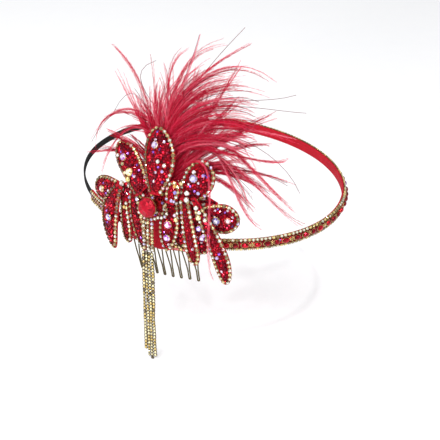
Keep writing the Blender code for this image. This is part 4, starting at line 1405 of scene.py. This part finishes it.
def make_petal_chains():
    sizes = bpy.context.scene.headpiece_stones
    for k, petal in enumerate(PETALS):
        random = np.random.default_rng(300 + k)
        q = 0.5 - 0.5 * np.cos(pi * np.linspace(0.0, 1.0, 400))
        half = petal_half(petal, q, CHAIN_INSET)
        wide = half > CHAIN_LEAST
        q, half = q[wide], half[wide]
        tip = np.array([1.0 - CHAIN_INSET / petal_length(petal)])
        route_q = np.concatenate((q, tip, q[::-1]))
        across = np.concatenate((-half, [0.0], half[::-1]))
        points = petal_place(petal, route_q, across, PETAL_FELT)
        outs = unit(petal_place(petal, route_q, across, 2.0) - points)
        ahead = unit(np.gradient(points, axis=0))
        outs = unit(outs + CHAIN_LEAN * np.cross(outs, ahead))
        cups, stones = Heap(), Heap()
        # Stones outside the lit stretch are painted in shade, as on the side turned away from the key light.
        painted_bright = PAINTED_LIT_EDGES.get(petal.name, (0.0, 1.0))
        first, last = (int(share * (len(points) - 1)) for share in painted_bright)
        end = len(points) - 1
        stretches = ((0, first, PAINTED_SHADE_TINTS), (first, last, CRYSTAL_TINTS), (last, end, PAINTED_SHADE_TINTS))
        for start, stop, table in stretches:
            if stop > start:
                where = slice(start, stop + 1)
                where = (points[where], outs[where])
                cup_chain(random, cups, stones, *where, sizes.edge_pitch, sizes.edge_radius, table=table)
        place_chain(cups, stones, "edge_" + petal.name, ["chain_" + petal.name])


def make_main_stones():
    random = np.random.default_rng(500)
    jewels, settings = Heap(), Heap()
    for stone in MAIN_STONES:
        out, along, up = head_axes(stone.u, stone.v)
        w = LAYER_ONE + (stone.layer - 1) * LAYER_PITCH + stone.lift + PETAL_FELT + PETAL_DOME + 0.1
        centre = on_head(stone.u, stone.v, w)[None]
        axes = (along[None], up[None], out[None])
        radius = stone.radius * MM
        set_out(settings, CUP, centre, *axes, (radius, radius, radius * 0.9), (0.9, 0.9, 0.9))
        tint = np.array([stone.tint])
        tints = facet_glint_tints(random, tint, len(FINE_CUT.sizes), 0.25, 1.3)
        # About a fifth of the facets, and the table, are painted near white: painted glints and a painted
        # highlight.
        painted_bright = random.random((1, len(FINE_CUT.sizes), 1)) < 0.22
        tints = np.where(painted_bright, 0.25 * tint[:, None] + 0.72, tints)
        tints[:, -1] = 0.35 * tint + 0.62
        set_out(jewels, FINE_CUT, centre + out * radius * 0.12, *axes, radius * 1.02, tints)
    for stone in LOOSE_STONES:
        out, along, up = head_axes(stone.u, stone.v)
        centre = on_head(stone.u, stone.v, top_at(stone.u, stone.v) + 0.6)[None]
        axes = (along[None], up[None], out[None])
        radius = stone.radius * MM
        set_out(settings, CUP, centre, *axes, radius, (0.7, 0.7, 0.7))
        tints = facet_glint_tints(random, np.array([stone.tint]), len(FINE_CUT.sizes), 0.3, 1.2)
        tints[:, -1] = stone.tint
        set_out(jewels, FINE_CUT, centre + out * radius * 0.12, *axes, radius * 1.02, tints)
    nodes = ["stone_" + stone.name for stone in MAIN_STONES]
    place_piece(jewels, "main_jewels", finish_for("Crystal", crystal_finish), nodes)
    place_piece(settings, "main_settings", finish_for("Pale gold", gold_finish))


def make_centre():
    sizes = bpy.context.scene.headpiece_stones
    colours = bpy.context.scene.headpiece_colours
    random = np.random.default_rng(600)
    out, along, up = head_axes(CENTRE_U, CENTRE_V)
    base_w = LAYER_ONE + 2 * LAYER_PITCH
    centre = on_head(CENTRE_U, CENTRE_V, base_w)
    axes = (along[None], up[None], out[None])
    half = np.array((CENTRE_HALF_U, CENTRE_HALF_V, CENTRE_HIGH)) * MM
    jewel = Heap()
    cut = cut_shape(11, ((0.86, 0.05), (1.0, 0.4), (0.95, 0.58), (0.78, 0.82), (0.36, 0.97)))
    rough = random.normal(0.0, 0.035, cut.verts.shape) * (cut.verts[:, 2:] > 0.5) * 1.4
    cut = Shape(cut.verts + rough, cut.corners, cut.sizes)
    tints = facet_glint_tints(random, np.array([colours.centre]), len(cut.sizes), 0.5, 1.5)
    set_out(jewel, cut, centre[None], *axes, half, tints)
    finish = finish_for("Centre stone", centre_finish)
    place_piece(jewel, "centre_jewel", finish, ["centre_stone"])

    setting = Heap()
    stem = turned_shape(16, SETTING_LEVELS)
    set_out(setting, stem, centre[None], *axes, half, (0.5, 0.4, 0.35))
    place_piece(setting, "centre_setting", finish_for("Pale gold", gold_finish))

    spots = np.array(RING)
    runs = np.concatenate(([0.0], np.cumsum(np.hypot(*np.diff(spots, axis=0).T))))
    fine = np.linspace(0.0, runs[-1], 160)
    a, b = (np.interp(fine, runs, spots[:, k]) for k in range(2))
    points = centre + (along * a[:, None] + up * b[:, None]) * MM
    outs = np.tile(out, (len(fine), 1))
    cups, stones = Heap(), Heap()
    cup_chain(random, cups, stones, points, outs, sizes.edge_pitch * RING_CLOSER, RING_RADIUS * MM)
    place_chain(cups, stones, "centre_ring", ["centre_ring"])


def make_tassel():
    sizes = bpy.context.scene.headpiece_stones
    random = np.random.default_rng(700)
    cups, stones = Heap(), Heap()
    v = np.linspace(TASSEL_TOP_V, TASSEL_PANEL_V, 80)
    column = 2 * TASSEL_HALF / PANEL_COLUMNS
    for k in range(PANEL_COLUMNS):
        u = TASSEL_U + (k - 1) * column
        points = on_head(u, v, TASSEL_W - TASSEL_THICK / 2)
        outs = unit(on_head(u, v, TASSEL_W) - points)
        cup_chain(random, cups, stones, points, outs, PANEL_PITCH * MM, PANEL_RADIUS * MM)
    place_chain(cups, stones, "tassel_panel", ["tassel_panel"])

    count = len(STRANDS)
    out, along, up = head_axes(TASSEL_U, TASSEL_PANEL_V)
    radius = (STRAND_RADIUS + STRAND_SPREAD) * MM
    for k, strand in enumerate(STRANDS):
        across = (k - (count - 1) / 2) * STRAND_PITCH
        top = on_head(TASSEL_U + across, TASSEL_PANEL_V, TASSEL_W)
        share = np.linspace(0.0, 1.0, 120)[:, None]
        points = top + np.array((0.0, 0.0, -1.0)) * (STRAND_GAP + strand.length * share) * MM
        points = points + along * (strand.drift * MM) * share**2
        twist = 0.22 * np.sin(share * 9.0 + k * 1.7) + 0.16 * np.sin(share * 23.0 + k)
        outs = unit(out * np.cos(twist) + along * np.sin(twist))
        cups, stones = Heap(), Heap()
        size = (sizes.strand_pitch, radius)
        # A gold of 0.3 darkens the strands' cups further: painted shade between the tassel's stones.
        cup_chain(random, cups, stones, points, outs, *size, STRAND_TINTS, 0.7, 0.84, 0.3)
        place_chain(cups, stones, f"strand_{k + 1}", [f"tassel_strand_{k + 1}"])


def make_comb():
    random = np.random.default_rng(800)
    comb = Heap()
    last_u = COMB_FIRST_U + (COMB_TEETH - 1) * COMB_PITCH

    def bar_v(u):
        return COMB_LEFT_V + (COMB_RIGHT_V - COMB_LEFT_V) * (u - COMB_FIRST_U) / (last_u - COMB_FIRST_U)

    u = np.linspace(COMB_FIRST_U - BAR_OVERHANG, last_u + BAR_OVERHANG, 60)
    tube(comb, on_head(u, bar_v(u), COMB_W), WIRE_RADIUS * MM, 10, (1.0, 1.0, 1.0))
    turns = int((last_u - COMB_FIRST_U + 2 * BAR_OVERHANG - 2 * COIL_END) / COIL_PITCH)
    ends = (COMB_FIRST_U - BAR_OVERHANG + COIL_END, last_u + BAR_OVERHANG - COIL_END)
    fine = np.linspace(*ends, turns * 10)
    angle = np.linspace(0.0, 2 * pi * turns, turns * 10)
    coil_v = bar_v(fine) + COIL_RADIUS * np.sin(angle)
    coil = on_head(fine, coil_v, COMB_W + COIL_RADIUS * np.cos(angle))
    tube(comb, coil, COIL_WIRE * MM, 5, (1.0, 1.0, 1.0))
    for k in range(COMB_TEETH):
        mid = COMB_FIRST_U + k * COMB_PITCH
        top = bar_v(mid)
        tip = COMB_TIP_V + top - COMB_LEFT_V + random.uniform(-0.4, 0.4)
        share = np.linspace(0.0, TOOTH_END, 28)
        spread = np.clip(1.0 - share / TOOTH_JOIN, 0.0, 1.0)
        half = TOOTH_HALF_TIP + (TOOTH_HALF_TOP - TOOTH_HALF_TIP) * spread**0.85
        lean = COMB_LEAN * share + 0.4 * np.sin(pi * share) * random.uniform(-1.0, 1.0)
        v = top + (tip - top) * share
        turn = np.linspace(pi, 0.0, 9)[1:-1]
        end_u = mid + lean[-1] + half[-1] * np.cos(turn)
        end_v = v[-1] - half[-1] * np.sin(turn)
        route_u = np.concatenate((mid + lean - half, end_u, (mid + lean + half)[::-1]))
        route_v = np.concatenate((v, end_v, v[::-1]))
        tube(comb, on_head(route_u, route_v, COMB_W), WIRE_RADIUS * MM, 8, (1.0, 1.0, 1.0))
    finish = finish_for("Antique gold wire", comb_finish)
    place_piece(comb, "comb_wires", finish, ["hair_comb"])


def plume_lines():
    """Start, bend and tip of every lock, with its width, as the solids have them."""
    root = on_head(PLUME_U, PLUME_V, PLUME_W)
    out, along, up = head_axes(PLUME_U, PLUME_V)
    lines = []
    count = len(LOCKS) + len(DROOPS)
    for k, lock in enumerate(LOCKS):
        start = root + along * ROOT_SPREAD * (2 * k / (count - 1) - 1) * MM
        tip = np.array((lock.tip_x, lock.tip_y, lock.tip_z)) * MM
        reach = tip - start
        flat = reach - out * np.dot(reach, out)
        bend = start + flat * LOCK_BEND + (up * lock.arch - out * LOCK_TUCK) * MM
        lines.append((start, bend, tip, lock.width))
    return lines


def lock_clumps(random):
    """Clumps that fill each lock and droop of the plume: four points and the tone of each."""
    controls, tones = [], []
    for start, bend, tip, width in plume_lines():
        count = max(1, int(round(width / 4.2)))
        ahead = unit(tip - start)
        away = unit(tip * (1.0 / HEAD_SIDE, 1.0 / HEAD_FRONT, 0.6 / HEAD_RISE))
        thin = unit(away - ahead * np.dot(away, ahead))
        broad = np.cross(ahead, thin)
        for k in range(count):
            side = ((k + 0.5) / count * 2 - 1) * 0.8 + random.normal(0.0, 0.15)
            spread = (broad * side * width * 0.62 + thin * random.normal(0.0, 3.0)) * MM
            size = random.uniform(0.58, 0.92)
            curl = (broad * random.normal(0.0, 3.0) + thin * random.normal(1.5, 2.0)) * MM
            middle = start + (bend - start) * size + spread * 0.6
            end = start + (tip - start) * size + spread
            near = start + (middle - start) * 0.75
            far = middle + (end - middle) * 0.5 + curl * 0.4
            controls.append((start, near, far, end + curl))
            tones.append(random.choice((0.2, 0.35, 0.5, 0.65), p=(0.3, 0.32, 0.26, 0.12)))
    for droop in DROOPS:
        for k in range(2):
            share = np.array((0.0, 0.36, 0.72, 1.0)) * random.uniform(0.72, 0.98)
            u = PLUME_U + 3.0 + (droop.tip_u - PLUME_U - 3.0 + random.normal(0.0, 3.0)) * share
            lift = (droop.arch + random.normal(0.0, 3.0)) * 5.0 * share * (1 - share)
            v = PLUME_V + (droop.tip_v - PLUME_V + random.normal(0.0, 4.0)) * share + lift
            w = PLUME_W + (droop.tip_w - PLUME_W) * share**1.4
            controls.append(on_head(u, v, w))
            tones.append(random.uniform(0.35, 0.6))
    return np.array(controls), np.array(tones)


def way_to(azimuth, elevation):
    """Unit direction towards an azimuth and elevation, in radians."""
    level = np.cos(elevation)
    return np.array((np.sin(azimuth) * level, -np.cos(azimuth) * level, np.sin(elevation)))


def camera_axes():
    """Unit directions of the photograph's view: back to the camera, right and up; and its target."""
    back = way_to(CAMERA_AZIMUTH, CAMERA_ELEVATION)
    right = np.array((np.cos(CAMERA_AZIMUTH), np.sin(CAMERA_AZIMUTH), 0.0))
    up = np.cross(back, right)
    return back, right, up, right * TARGET_RIGHT + up * TARGET_UP


def pixel_of(point):
    """Where a point in millimetres shows in the photograph."""
    back, right, up, target = camera_axes()
    away = point - (target + back * CAMERA_DISTANCE) / MM
    scale = FOCAL_PIXELS / -np.dot(away, back)
    return PHOTO_SIDE / 2 + scale * np.dot(away, right), PHOTO_SIDE / 2 - scale * np.dot(away, up)


def point_at(pixel, depth):
    """The point in millimetres that shows at a pixel, depth nearer the camera than the head's middle."""
    back, right, up, target = camera_axes()
    far = CAMERA_DISTANCE / MM - depth
    across = right * (pixel[0] - PHOTO_SIDE / 2) + up * (PHOTO_SIDE / 2 - pixel[1])
    return target / MM + back * depth + across * far / FOCAL_PIXELS


def off_head(point):
    """How far a point in millimetres stands off the head."""
    axes = np.array((HEAD_SIDE, HEAD_FRONT, HEAD_RISE if point[2] >= 0 else HEAD_DROP))
    foot = point / np.linalg.norm(point / axes)
    return np.dot(point - foot, unit(foot / axes**2))


def plume_sheet():
    """The plane through the plume's root and its locks' tips: how the depth changes with the pixel."""
    tips = [(lock.tip_x, lock.tip_y, lock.tip_z) for lock in LOCKS]
    points = np.array([on_head(PLUME_U, PLUME_V, PLUME_W) / MM, *tips])
    pixels = np.array([pixel_of(point) for point in points]) - (SHEET_X, SHEET_Y)
    known = np.column_stack((np.ones(len(points)), pixels))
    return np.linalg.lstsq(known, points @ camera_axes()[0], rcond=None)[0]


def clump_points(clump, sheet):
    """The places that a clump's line passes: in the plume's sheet, or hung over the flower."""
    points = [on_head(PLUME_U, PLUME_V, PLUME_W) / MM]
    for k, (x, y) in enumerate(clump.route):
        share = (k + 1) / len(clump.route)
        if clump.forward is None:
            depth = HANG_FROM
            while off_head(point_at((x, y), depth)) > HANG_OFF:
                depth -= HANG_STEP
        else:
            depth = np.dot(sheet, (1.0, x - SHEET_X, y - SHEET_Y)) + clump.forward * share
            while off_head(point_at((x, y), depth)) < CLEAR_AT_ROOT + CLEAR_GROWS * share:
                depth += CLEAR_STEP
        points.append(point_at((x, y), depth))
    return np.array(points)


def curve_shares(t):
    return np.stack(((1 - t) ** 3, 3 * t * (1 - t) ** 2, 3 * t**2 * (1 - t), t**3), axis=-1)


def nearest_curve(points):
    """The four points of the curve that runs nearest to a row of points, from its first to its last."""
    steps = np.linalg.norm(np.diff(points, axis=0), axis=1)
    t = np.concatenate(((0.0,), np.cumsum(steps))) / steps.sum()
    fine = np.linspace(0.0, 1.0, FIT_SAMPLES)
    for _ in range(FIT_ROUNDS):
        shares = curve_shares(t)
        rest = points - shares[:, :1] * points[0] - shares[:, 3:] * points[-1]
        middle = np.linalg.lstsq(shares[:, 1:3], rest, rcond=None)[0]
        curve = np.array((points[0], *middle, points[-1]))
        line = curve_shares(fine) @ curve
        t = np.array([fine[np.argmin(np.linalg.norm(line - point, axis=1))] for point in points])
        t[0], t[-1] = 0.0, 1.0
    return curve


def shaped_clumps():
    """The four points of every clump in CLUMPS, in metres; all but the root to a tenth of a millimetre."""
    sheet = plume_sheet()
    curves = np.array([nearest_curve(clump_points(clump, sheet)) for clump in CLUMPS])
    curves[:, 1:] = np.round(curves[:, 1:], 1)
    return curves * MM


def nearest_core(controls, looses):
    """For each clump, the three clumps of the plume's core whose tips are nearest to its own."""
    core = np.flatnonzero(looses > CORE_LOOSE)
    apart = np.linalg.norm(controls[:, None, 3] - controls[None, core, 3], axis=2)
    return core[np.argsort(apart, axis=1)[:, 1:4]]


def frond_routes(random, fronds, hair):
    """Every frond of the plume: its four points, its tone and the length of its barbules."""
    controls, tones = lock_clumps(random)
    counts = np.full(len(controls), fronds)
    looses = np.full(len(controls), LOCK_LOOSE)
    controls = np.concatenate((controls, shaped_clumps()))
    tones = np.concatenate((tones, [clump.tone for clump in CLUMPS]))
    fuller = [clump.fronds + CORE_MORE * (clump.loose > CORE_LOOSE) for clump in CLUMPS]
    counts = np.concatenate((counts, fuller))
    looses = np.concatenate((looses, [clump.loose for clump in CLUMPS]))

    owner = np.repeat(np.arange(len(controls)), counts)
    count = len(owner)
    near = nearest_core(controls, looses)
    toward = near[owner, random.integers(0, near.shape[1], count)]
    mixed = CORE_MIX * random.random((count, 1, 1)) * (looses[owner] > CORE_LOOSE)[:, None, None]
    base = controls[owner] + (controls[toward] - controls[owner]) * mixed
    stray = looses[owner][:, None, None] * np.array(STRAY_SHARES)[None, :, None] * MM
    points = base + random.normal(0.0, 1.0, (count, 4, 3)) * stray
    out, along, up = head_axes(PLUME_U, PLUME_V)
    stray_along = along * random.normal(0.0, ROOT_STRAY, (count, 1))
    stray_down = up * random.uniform(0.0, ROOT_DROP, (count, 1))
    points[:, 0] += (stray_along - stray_down) * MM
    loss = np.where(looses[owner] < NEAT_LOOSE, NEAT_LOSS, LOOSE_LOSS)[:, None]
    end = 1.0 - loss * random.random((count, 1)) ** 1.6
    stem = (random.random(count) < STEM_SHARE) | (tones[owner] < 0.0)
    end[stem] = 1.0
    a, b, c, d = (points[:, k] for k in range(4))
    ab, bc, cd = a + (b - a) * end, b + (c - b) * end, c + (d - c) * end
    abc, bcd = ab + (bc - ab) * end, bc + (cd - bc) * end
    control = (a, ab, abc, abc + (bcd - abc) * end)
    tone = np.clip(tones[owner] + random.normal(0.0, TONE_STRAY, count), 0.0, 1.0)
    tone = np.where(stem, -1.0, tone)
    return control, tone[:, None], np.where(stem, STEM_HAIR * MM, hair)[:, None]


def plume_tints(tone):
    """Colours from deep through middle to light; a tone under 0 is a bare brown stem."""
    colours = bpy.context.scene.headpiece_colours
    deep = np.array(colours.plume_dark)
    middle = np.array(colours.plume_middle)
    light = np.array(colours.plume_light)
    first = np.clip(tone * 2.0, 0.0, 1.0)
    second = np.clip(tone * 2.0 - 1.0, 0.0, 1.0)
    tint = deep + (middle - deep) * first + (light - middle) * second
    return np.where(tone < -0.5, np.array((0.10, 0.012, 0.015)), tint)


def add_fronds(heap, random, control, light, barbules, length, angle):
    """Fronds as fine three-sided stems with barbules along both sides."""
    p0, p1, p2, p3 = control
    count = len(p0)
    stations = FROND_STATIONS
    t = np.linspace(0.0, 1.0, stations)[None, :, None]

    def line_at(t):
        a, b, c, d = (p[:, None, :] for p in (p0, p1, p2, p3))
        point = a * (1 - t) ** 3 + 3 * b * t * (1 - t) ** 2 + 3 * c * t**2 * (1 - t) + d * t**3
        ahead = 3 * (b - a) * (1 - t) ** 2 + 6 * (c - b) * t * (1 - t) + 3 * (d - c) * t**2
        return point, unit(ahead)

    def axes_at(point, ahead):
        away = unit(point * (1.0 / HEAD_SIDE, 1.0 / HEAD_FRONT, 0.7 / HEAD_RISE))
        side = unit(np.cross(ahead, away))
        return side, np.cross(ahead, side)

    bare = light < -0.5
    point, ahead = line_at(t)
    side, other = axes_at(point, ahead)
    fine = FROND_RADIUS * MM * np.where(bare[:, :, None], 1.45 * (1.0 - 0.45 * t), 1.0 - 0.75 * t)
    turns = 2 * pi * np.arange(3) / 3
    rings = [point + fine * (side * np.cos(turn) + other * np.sin(turn)) for turn in turns]
    verts = np.stack(rings, axis=2).reshape(-1, 3)
    i = np.arange(3)
    j = (i + 1) % 3
    base = (np.arange(stations - 1) * 3)[:, None]
    quads = np.stack((base + i, base + j, base + 3 + j, base + 3 + i), axis=-1).reshape(-1, 4)
    first = (np.arange(count) * stations * 3)[:, None, None]
    middle = (np.arange(stations - 1) + 0.5) / (stations - 1)
    # Stems darken towards the quill: partly painted shade in the dense mass there.
    tone = np.where(bare, light, np.clip(light * (0.45 + 0.55 * middle[None]) - 0.18, 0.0, 1.0))
    tone = np.repeat(tone, 3, axis=1).reshape(-1, 1)
    heap.add(verts, (quads[None] + first).ravel(), np.full(count * len(quads), 4), plume_tints(tone), True)
    ends = np.array((2, 1, 0, *(3 * stations - 3 + i)))
    corners = (ends[None] + first[:, :, 0]).ravel()
    end_tints = plume_tints(np.repeat(light, 2, axis=0))
    heap.add(np.zeros((0, 3)), corners - len(verts), np.full(count * 2, 3), end_tints)

    where = 0.10 + 0.90 * (np.arange(barbules) + 0.5)[None] / barbules
    where = np.clip(where + random.normal(0.0, 0.003, (count, barbules)), 0.0, 0.995)[..., None]
    point, ahead = line_at(where)
    side, other = axes_at(point, ahead)
    hand = np.where(np.arange(barbules) % 2 == 0, 1.0, -1.0)[None, :, None]
    lean = angle * random.uniform(0.4, 1.6, (count, barbules, 1))
    roll = random.normal(0.0, 0.75, (count, barbules, 1))
    sideways = side * hand * np.cos(roll) + other * np.sin(roll)
    heading = ahead * np.cos(lean) + sideways * np.sin(lean)
    envelope = np.minimum(1.0, 0.35 + 2.2 * where) * np.minimum(1.0, 0.30 + 3.0 * (1.0 - where))
    reach = length[:, :, None] * envelope * random.uniform(0.55, 1.3, (count, barbules, 1))
    tip = point + heading * reach
    across = unit(np.cross(heading, other)) * BARBULE_HALF * MM
    above = np.cross(heading, across)
    verts = np.stack((point + across, point - across, point + above, tip), axis=2)
    faces = np.array((0, 1, 2, 1, 0, 3, 2, 1, 3, 0, 2, 3))
    corners = faces[None] + (np.arange(count * barbules) * 4)[:, None]
    # Barbules darken towards the quill and lighten towards the tip: partly painted shade near the quill.
    tone = light[:, :, None] * (0.65 + 0.5 * where) + random.normal(0.02, 0.08, (count, barbules, 1))
    tone = np.where(bare[:, :, None], -1.0, np.clip(tone, 0.0, 1.0))
    tone = np.repeat(tone, 4, axis=2).reshape(-1, 1)
    heap.add(verts.reshape(-1, 3), corners.ravel(), np.full(count * barbules * 4, 3), plume_tints(tone), True)


def make_plume():
    sizes = bpy.context.scene.headpiece_plume
    random = np.random.default_rng(900)
    control, light, hair = frond_routes(random, sizes.fronds, sizes.barbule_length)
    order = random.permutation(len(light))
    finish = finish_for("Ostrich fronds", plume_finish)
    for k in range(PLUME_PARTS):
        chosen = order[k::PLUME_PARTS]
        heap = Heap()
        part = [p[chosen] for p in control]
        add_fronds(heap, random, part, light[chosen], sizes.barbules, hair[chosen], sizes.barbule_angle)
        if k == 0:
            out, along, up = head_axes(PLUME_U, PLUME_V)
            root = on_head(PLUME_U, PLUME_V, PLUME_W)
            angle = 2 * pi * np.arange(16) / 16
            across = along * (QUILL_HALF_ALONG * np.cos(angle))[:, None]
            flat = out * (QUILL_HALF_OUT * np.sin(angle))[:, None] + across
            sections = []
            for height, size in QUILL_LEVELS:
                sections.append(root + (up * height + flat * size) * MM)
            skin(heap, np.array(sections), (0.16, 0.001, 0.006))
        nodes = ["ostrich_plume"] if k == 0 else []
        place_piece(heap, f"plume_fronds_{k + 1}", finish, nodes)


def aim(thing, place, back):
    """Put a camera or a lamp at a place, with its back that way."""
    thing.location = place
    thing.rotation_mode = "QUATERNION"
    thing.rotation_quaternion = Vector(-back).to_track_quat("-Z", "Y")
    bpy.context.scene.collection.objects.link(thing)


def make_stage():
    floor = Heap()
    rings = [ring(64, radius, 0.0) for radius in (0.2, 0.5, 1.0, 2.0, 4.0, 8.0)]
    verts = np.concatenate(rings) + (0.0, 0.0, FLOOR_LEVEL)
    faces = [tuple(range(64))]
    for k in range(len(rings) - 1):
        for i in range(64):
            j = (i + 1) % 64
            faces.append((k * 64 + i, (k + 1) * 64 + i, (k + 1) * 64 + j, k * 64 + j))
    shape = from_faces(verts, faces)
    floor.add(shape.verts, shape.corners, shape.sizes, (1.0, 1.0, 1.0))
    thing = floor.thing("floor", finish_for("Pale floor", floor_finish))

    scene = bpy.context.scene
    world = bpy.data.worlds.new("Studio")
    world.use_nodes = True
    backdrop = world.node_tree.nodes["Background"]
    backdrop.inputs["Color"].default_value = (0.94, 0.95, 0.97, 1.0)
    backdrop.inputs["Strength"].default_value = 0.6
    scene.world = world
    scene.view_settings.view_transform = "Standard"

    back, _, _, target = camera_axes()
    camera = bpy.data.objects.new("Camera", bpy.data.cameras.new("Camera"))
    camera.data.lens = CAMERA_LENS
    camera.data.sensor_width = SENSOR_WIDTH
    aim(camera, target + back * CAMERA_DISTANCE, back)
    scene.camera = camera

    middle = np.array((-0.06, -0.02, 0.02))
    for lamp in LAMPS:
        way = way_to(radians(lamp.azimuth), radians(lamp.elevation))
        light = bpy.data.lights.new(lamp.name, "AREA")
        light.shape = "DISK"
        light.size = lamp.size
        light.energy = lamp.energy
        aim(bpy.data.objects.new(lamp.name, light), middle + way * lamp.distance, way)


class HEADPIECE_OT_straps(bpy.types.Operator):
    """Build the band's red tape and the black elastic that closes the loop"""

    bl_idname = "headpiece.straps"
    bl_label = "Tape and elastic"

    def execute(self, context):
        make_straps()
        return {"FINISHED"}


class HEADPIECE_OT_band_stones(bpy.types.Operator):
    """Build the band's edge chains and its row of red stones"""

    bl_idname = "headpiece.band_stones"
    bl_label = "Band stones"

    def execute(self, context):
        make_band_stones()
        return {"FINISHED"}


class HEADPIECE_OT_felt(bpy.types.Operator):
    """Build the felt backing under the flower"""

    bl_idname = "headpiece.felt"
    bl_label = "Felt backing"

    def execute(self, context):
        make_felt()
        return {"FINISHED"}


class HEADPIECE_OT_field(bpy.types.Operator):
    """Build the beads and stones on the felt between the petals"""

    bl_idname = "headpiece.field"
    bl_label = "Felt's beads"

    def execute(self, context):
        make_field()
        return {"FINISHED"}


class HEADPIECE_OT_petals(bpy.types.Operator):
    """Build the felt petals and their packed beads"""

    bl_idname = "headpiece.petals"
    bl_label = "Petals"

    def execute(self, context):
        make_petals()
        return {"FINISHED"}


class HEADPIECE_OT_petal_chains(bpy.types.Operator):
    """Build the cup-set stones round each petal"""

    bl_idname = "headpiece.petal_chains"
    bl_label = "Petal chains"

    def execute(self, context):
        make_petal_chains()
        return {"FINISHED"}


class HEADPIECE_OT_main_stones(bpy.types.Operator):
    """Build the main stones on the petals"""

    bl_idname = "headpiece.main_stones"
    bl_label = "Main stones"

    def execute(self, context):
        make_main_stones()
        return {"FINISHED"}


class HEADPIECE_OT_centre(bpy.types.Operator):
    """Build the centre stone in its setting and the ring of stones round it"""

    bl_idname = "headpiece.centre"
    bl_label = "Centre stone"

    def execute(self, context):
        make_centre()
        return {"FINISHED"}


class HEADPIECE_OT_tassel(bpy.types.Operator):
    """Build the tassel's panel of stones and its chains"""

    bl_idname = "headpiece.tassel"
    bl_label = "Tassel"

    def execute(self, context):
        make_tassel()
        return {"FINISHED"}


class HEADPIECE_OT_comb(bpy.types.Operator):
    """Build the wire comb"""

    bl_idname = "headpiece.comb"
    bl_label = "Hair comb"

    def execute(self, context):
        make_comb()
        return {"FINISHED"}


class HEADPIECE_OT_plume(bpy.types.Operator):
    """Build the ostrich plume, frond by frond"""

    bl_idname = "headpiece.plume"
    bl_label = "Plume"

    def execute(self, context):
        make_plume()
        return {"FINISHED"}


class HEADPIECE_OT_stage(bpy.types.Operator):
    """Build the floor, the lights and the camera"""

    bl_idname = "headpiece.stage"
    bl_label = "Stage"

    def execute(self, context):
        make_stage()
        return {"FINISHED"}


OPERATORS = (
    HEADPIECE_OT_straps,
    HEADPIECE_OT_band_stones,
    HEADPIECE_OT_felt,
    HEADPIECE_OT_field,
    HEADPIECE_OT_petals,
    HEADPIECE_OT_petal_chains,
    HEADPIECE_OT_main_stones,
    HEADPIECE_OT_centre,
    HEADPIECE_OT_tassel,
    HEADPIECE_OT_comb,
    HEADPIECE_OT_plume,
    HEADPIECE_OT_stage,
)


class HEADPIECE_PT_panel(bpy.types.Panel):
    """The headpiece's sizes, colours and pieces"""

    bl_label = "Feather headpiece"
    bl_idname = "HEADPIECE_PT_panel"
    bl_space_type = "VIEW_3D"
    bl_region_type = "UI"
    bl_category = "Headpiece"

    def draw(self, context):
        layout = self.layout
        for group in GROUPS:
            box = layout.box()
            values = getattr(context.scene, group)
            for name in values.bl_rna.properties.keys():
                if name not in ("rna_type", "name"):
                    box.prop(values, name)
        for operator in OPERATORS:
            layout.operator(operator.bl_idname)


GROUPS = {
    "headpiece_stones": StoneSizes,
    "headpiece_plume": PlumeSizes,
    "headpiece_colours": Colours,
}
CLASSES = (*GROUPS.values(), *OPERATORS, HEADPIECE_PT_panel)


def register():
    for kind in CLASSES:
        bpy.utils.register_class(kind)
    for name, group in GROUPS.items():
        setattr(bpy.types.Scene, name, PointerProperty(type=group))


def unregister():
    for name in GROUPS:
        delattr(bpy.types.Scene, name)
    for kind in reversed(CLASSES):
        bpy.utils.unregister_class(kind)


def main():
    register()
    for operator in OPERATORS:
        group, name = operator.bl_idname.split(".")
        getattr(getattr(bpy.ops, group), name)()


if __name__ == "__main__":
    main()
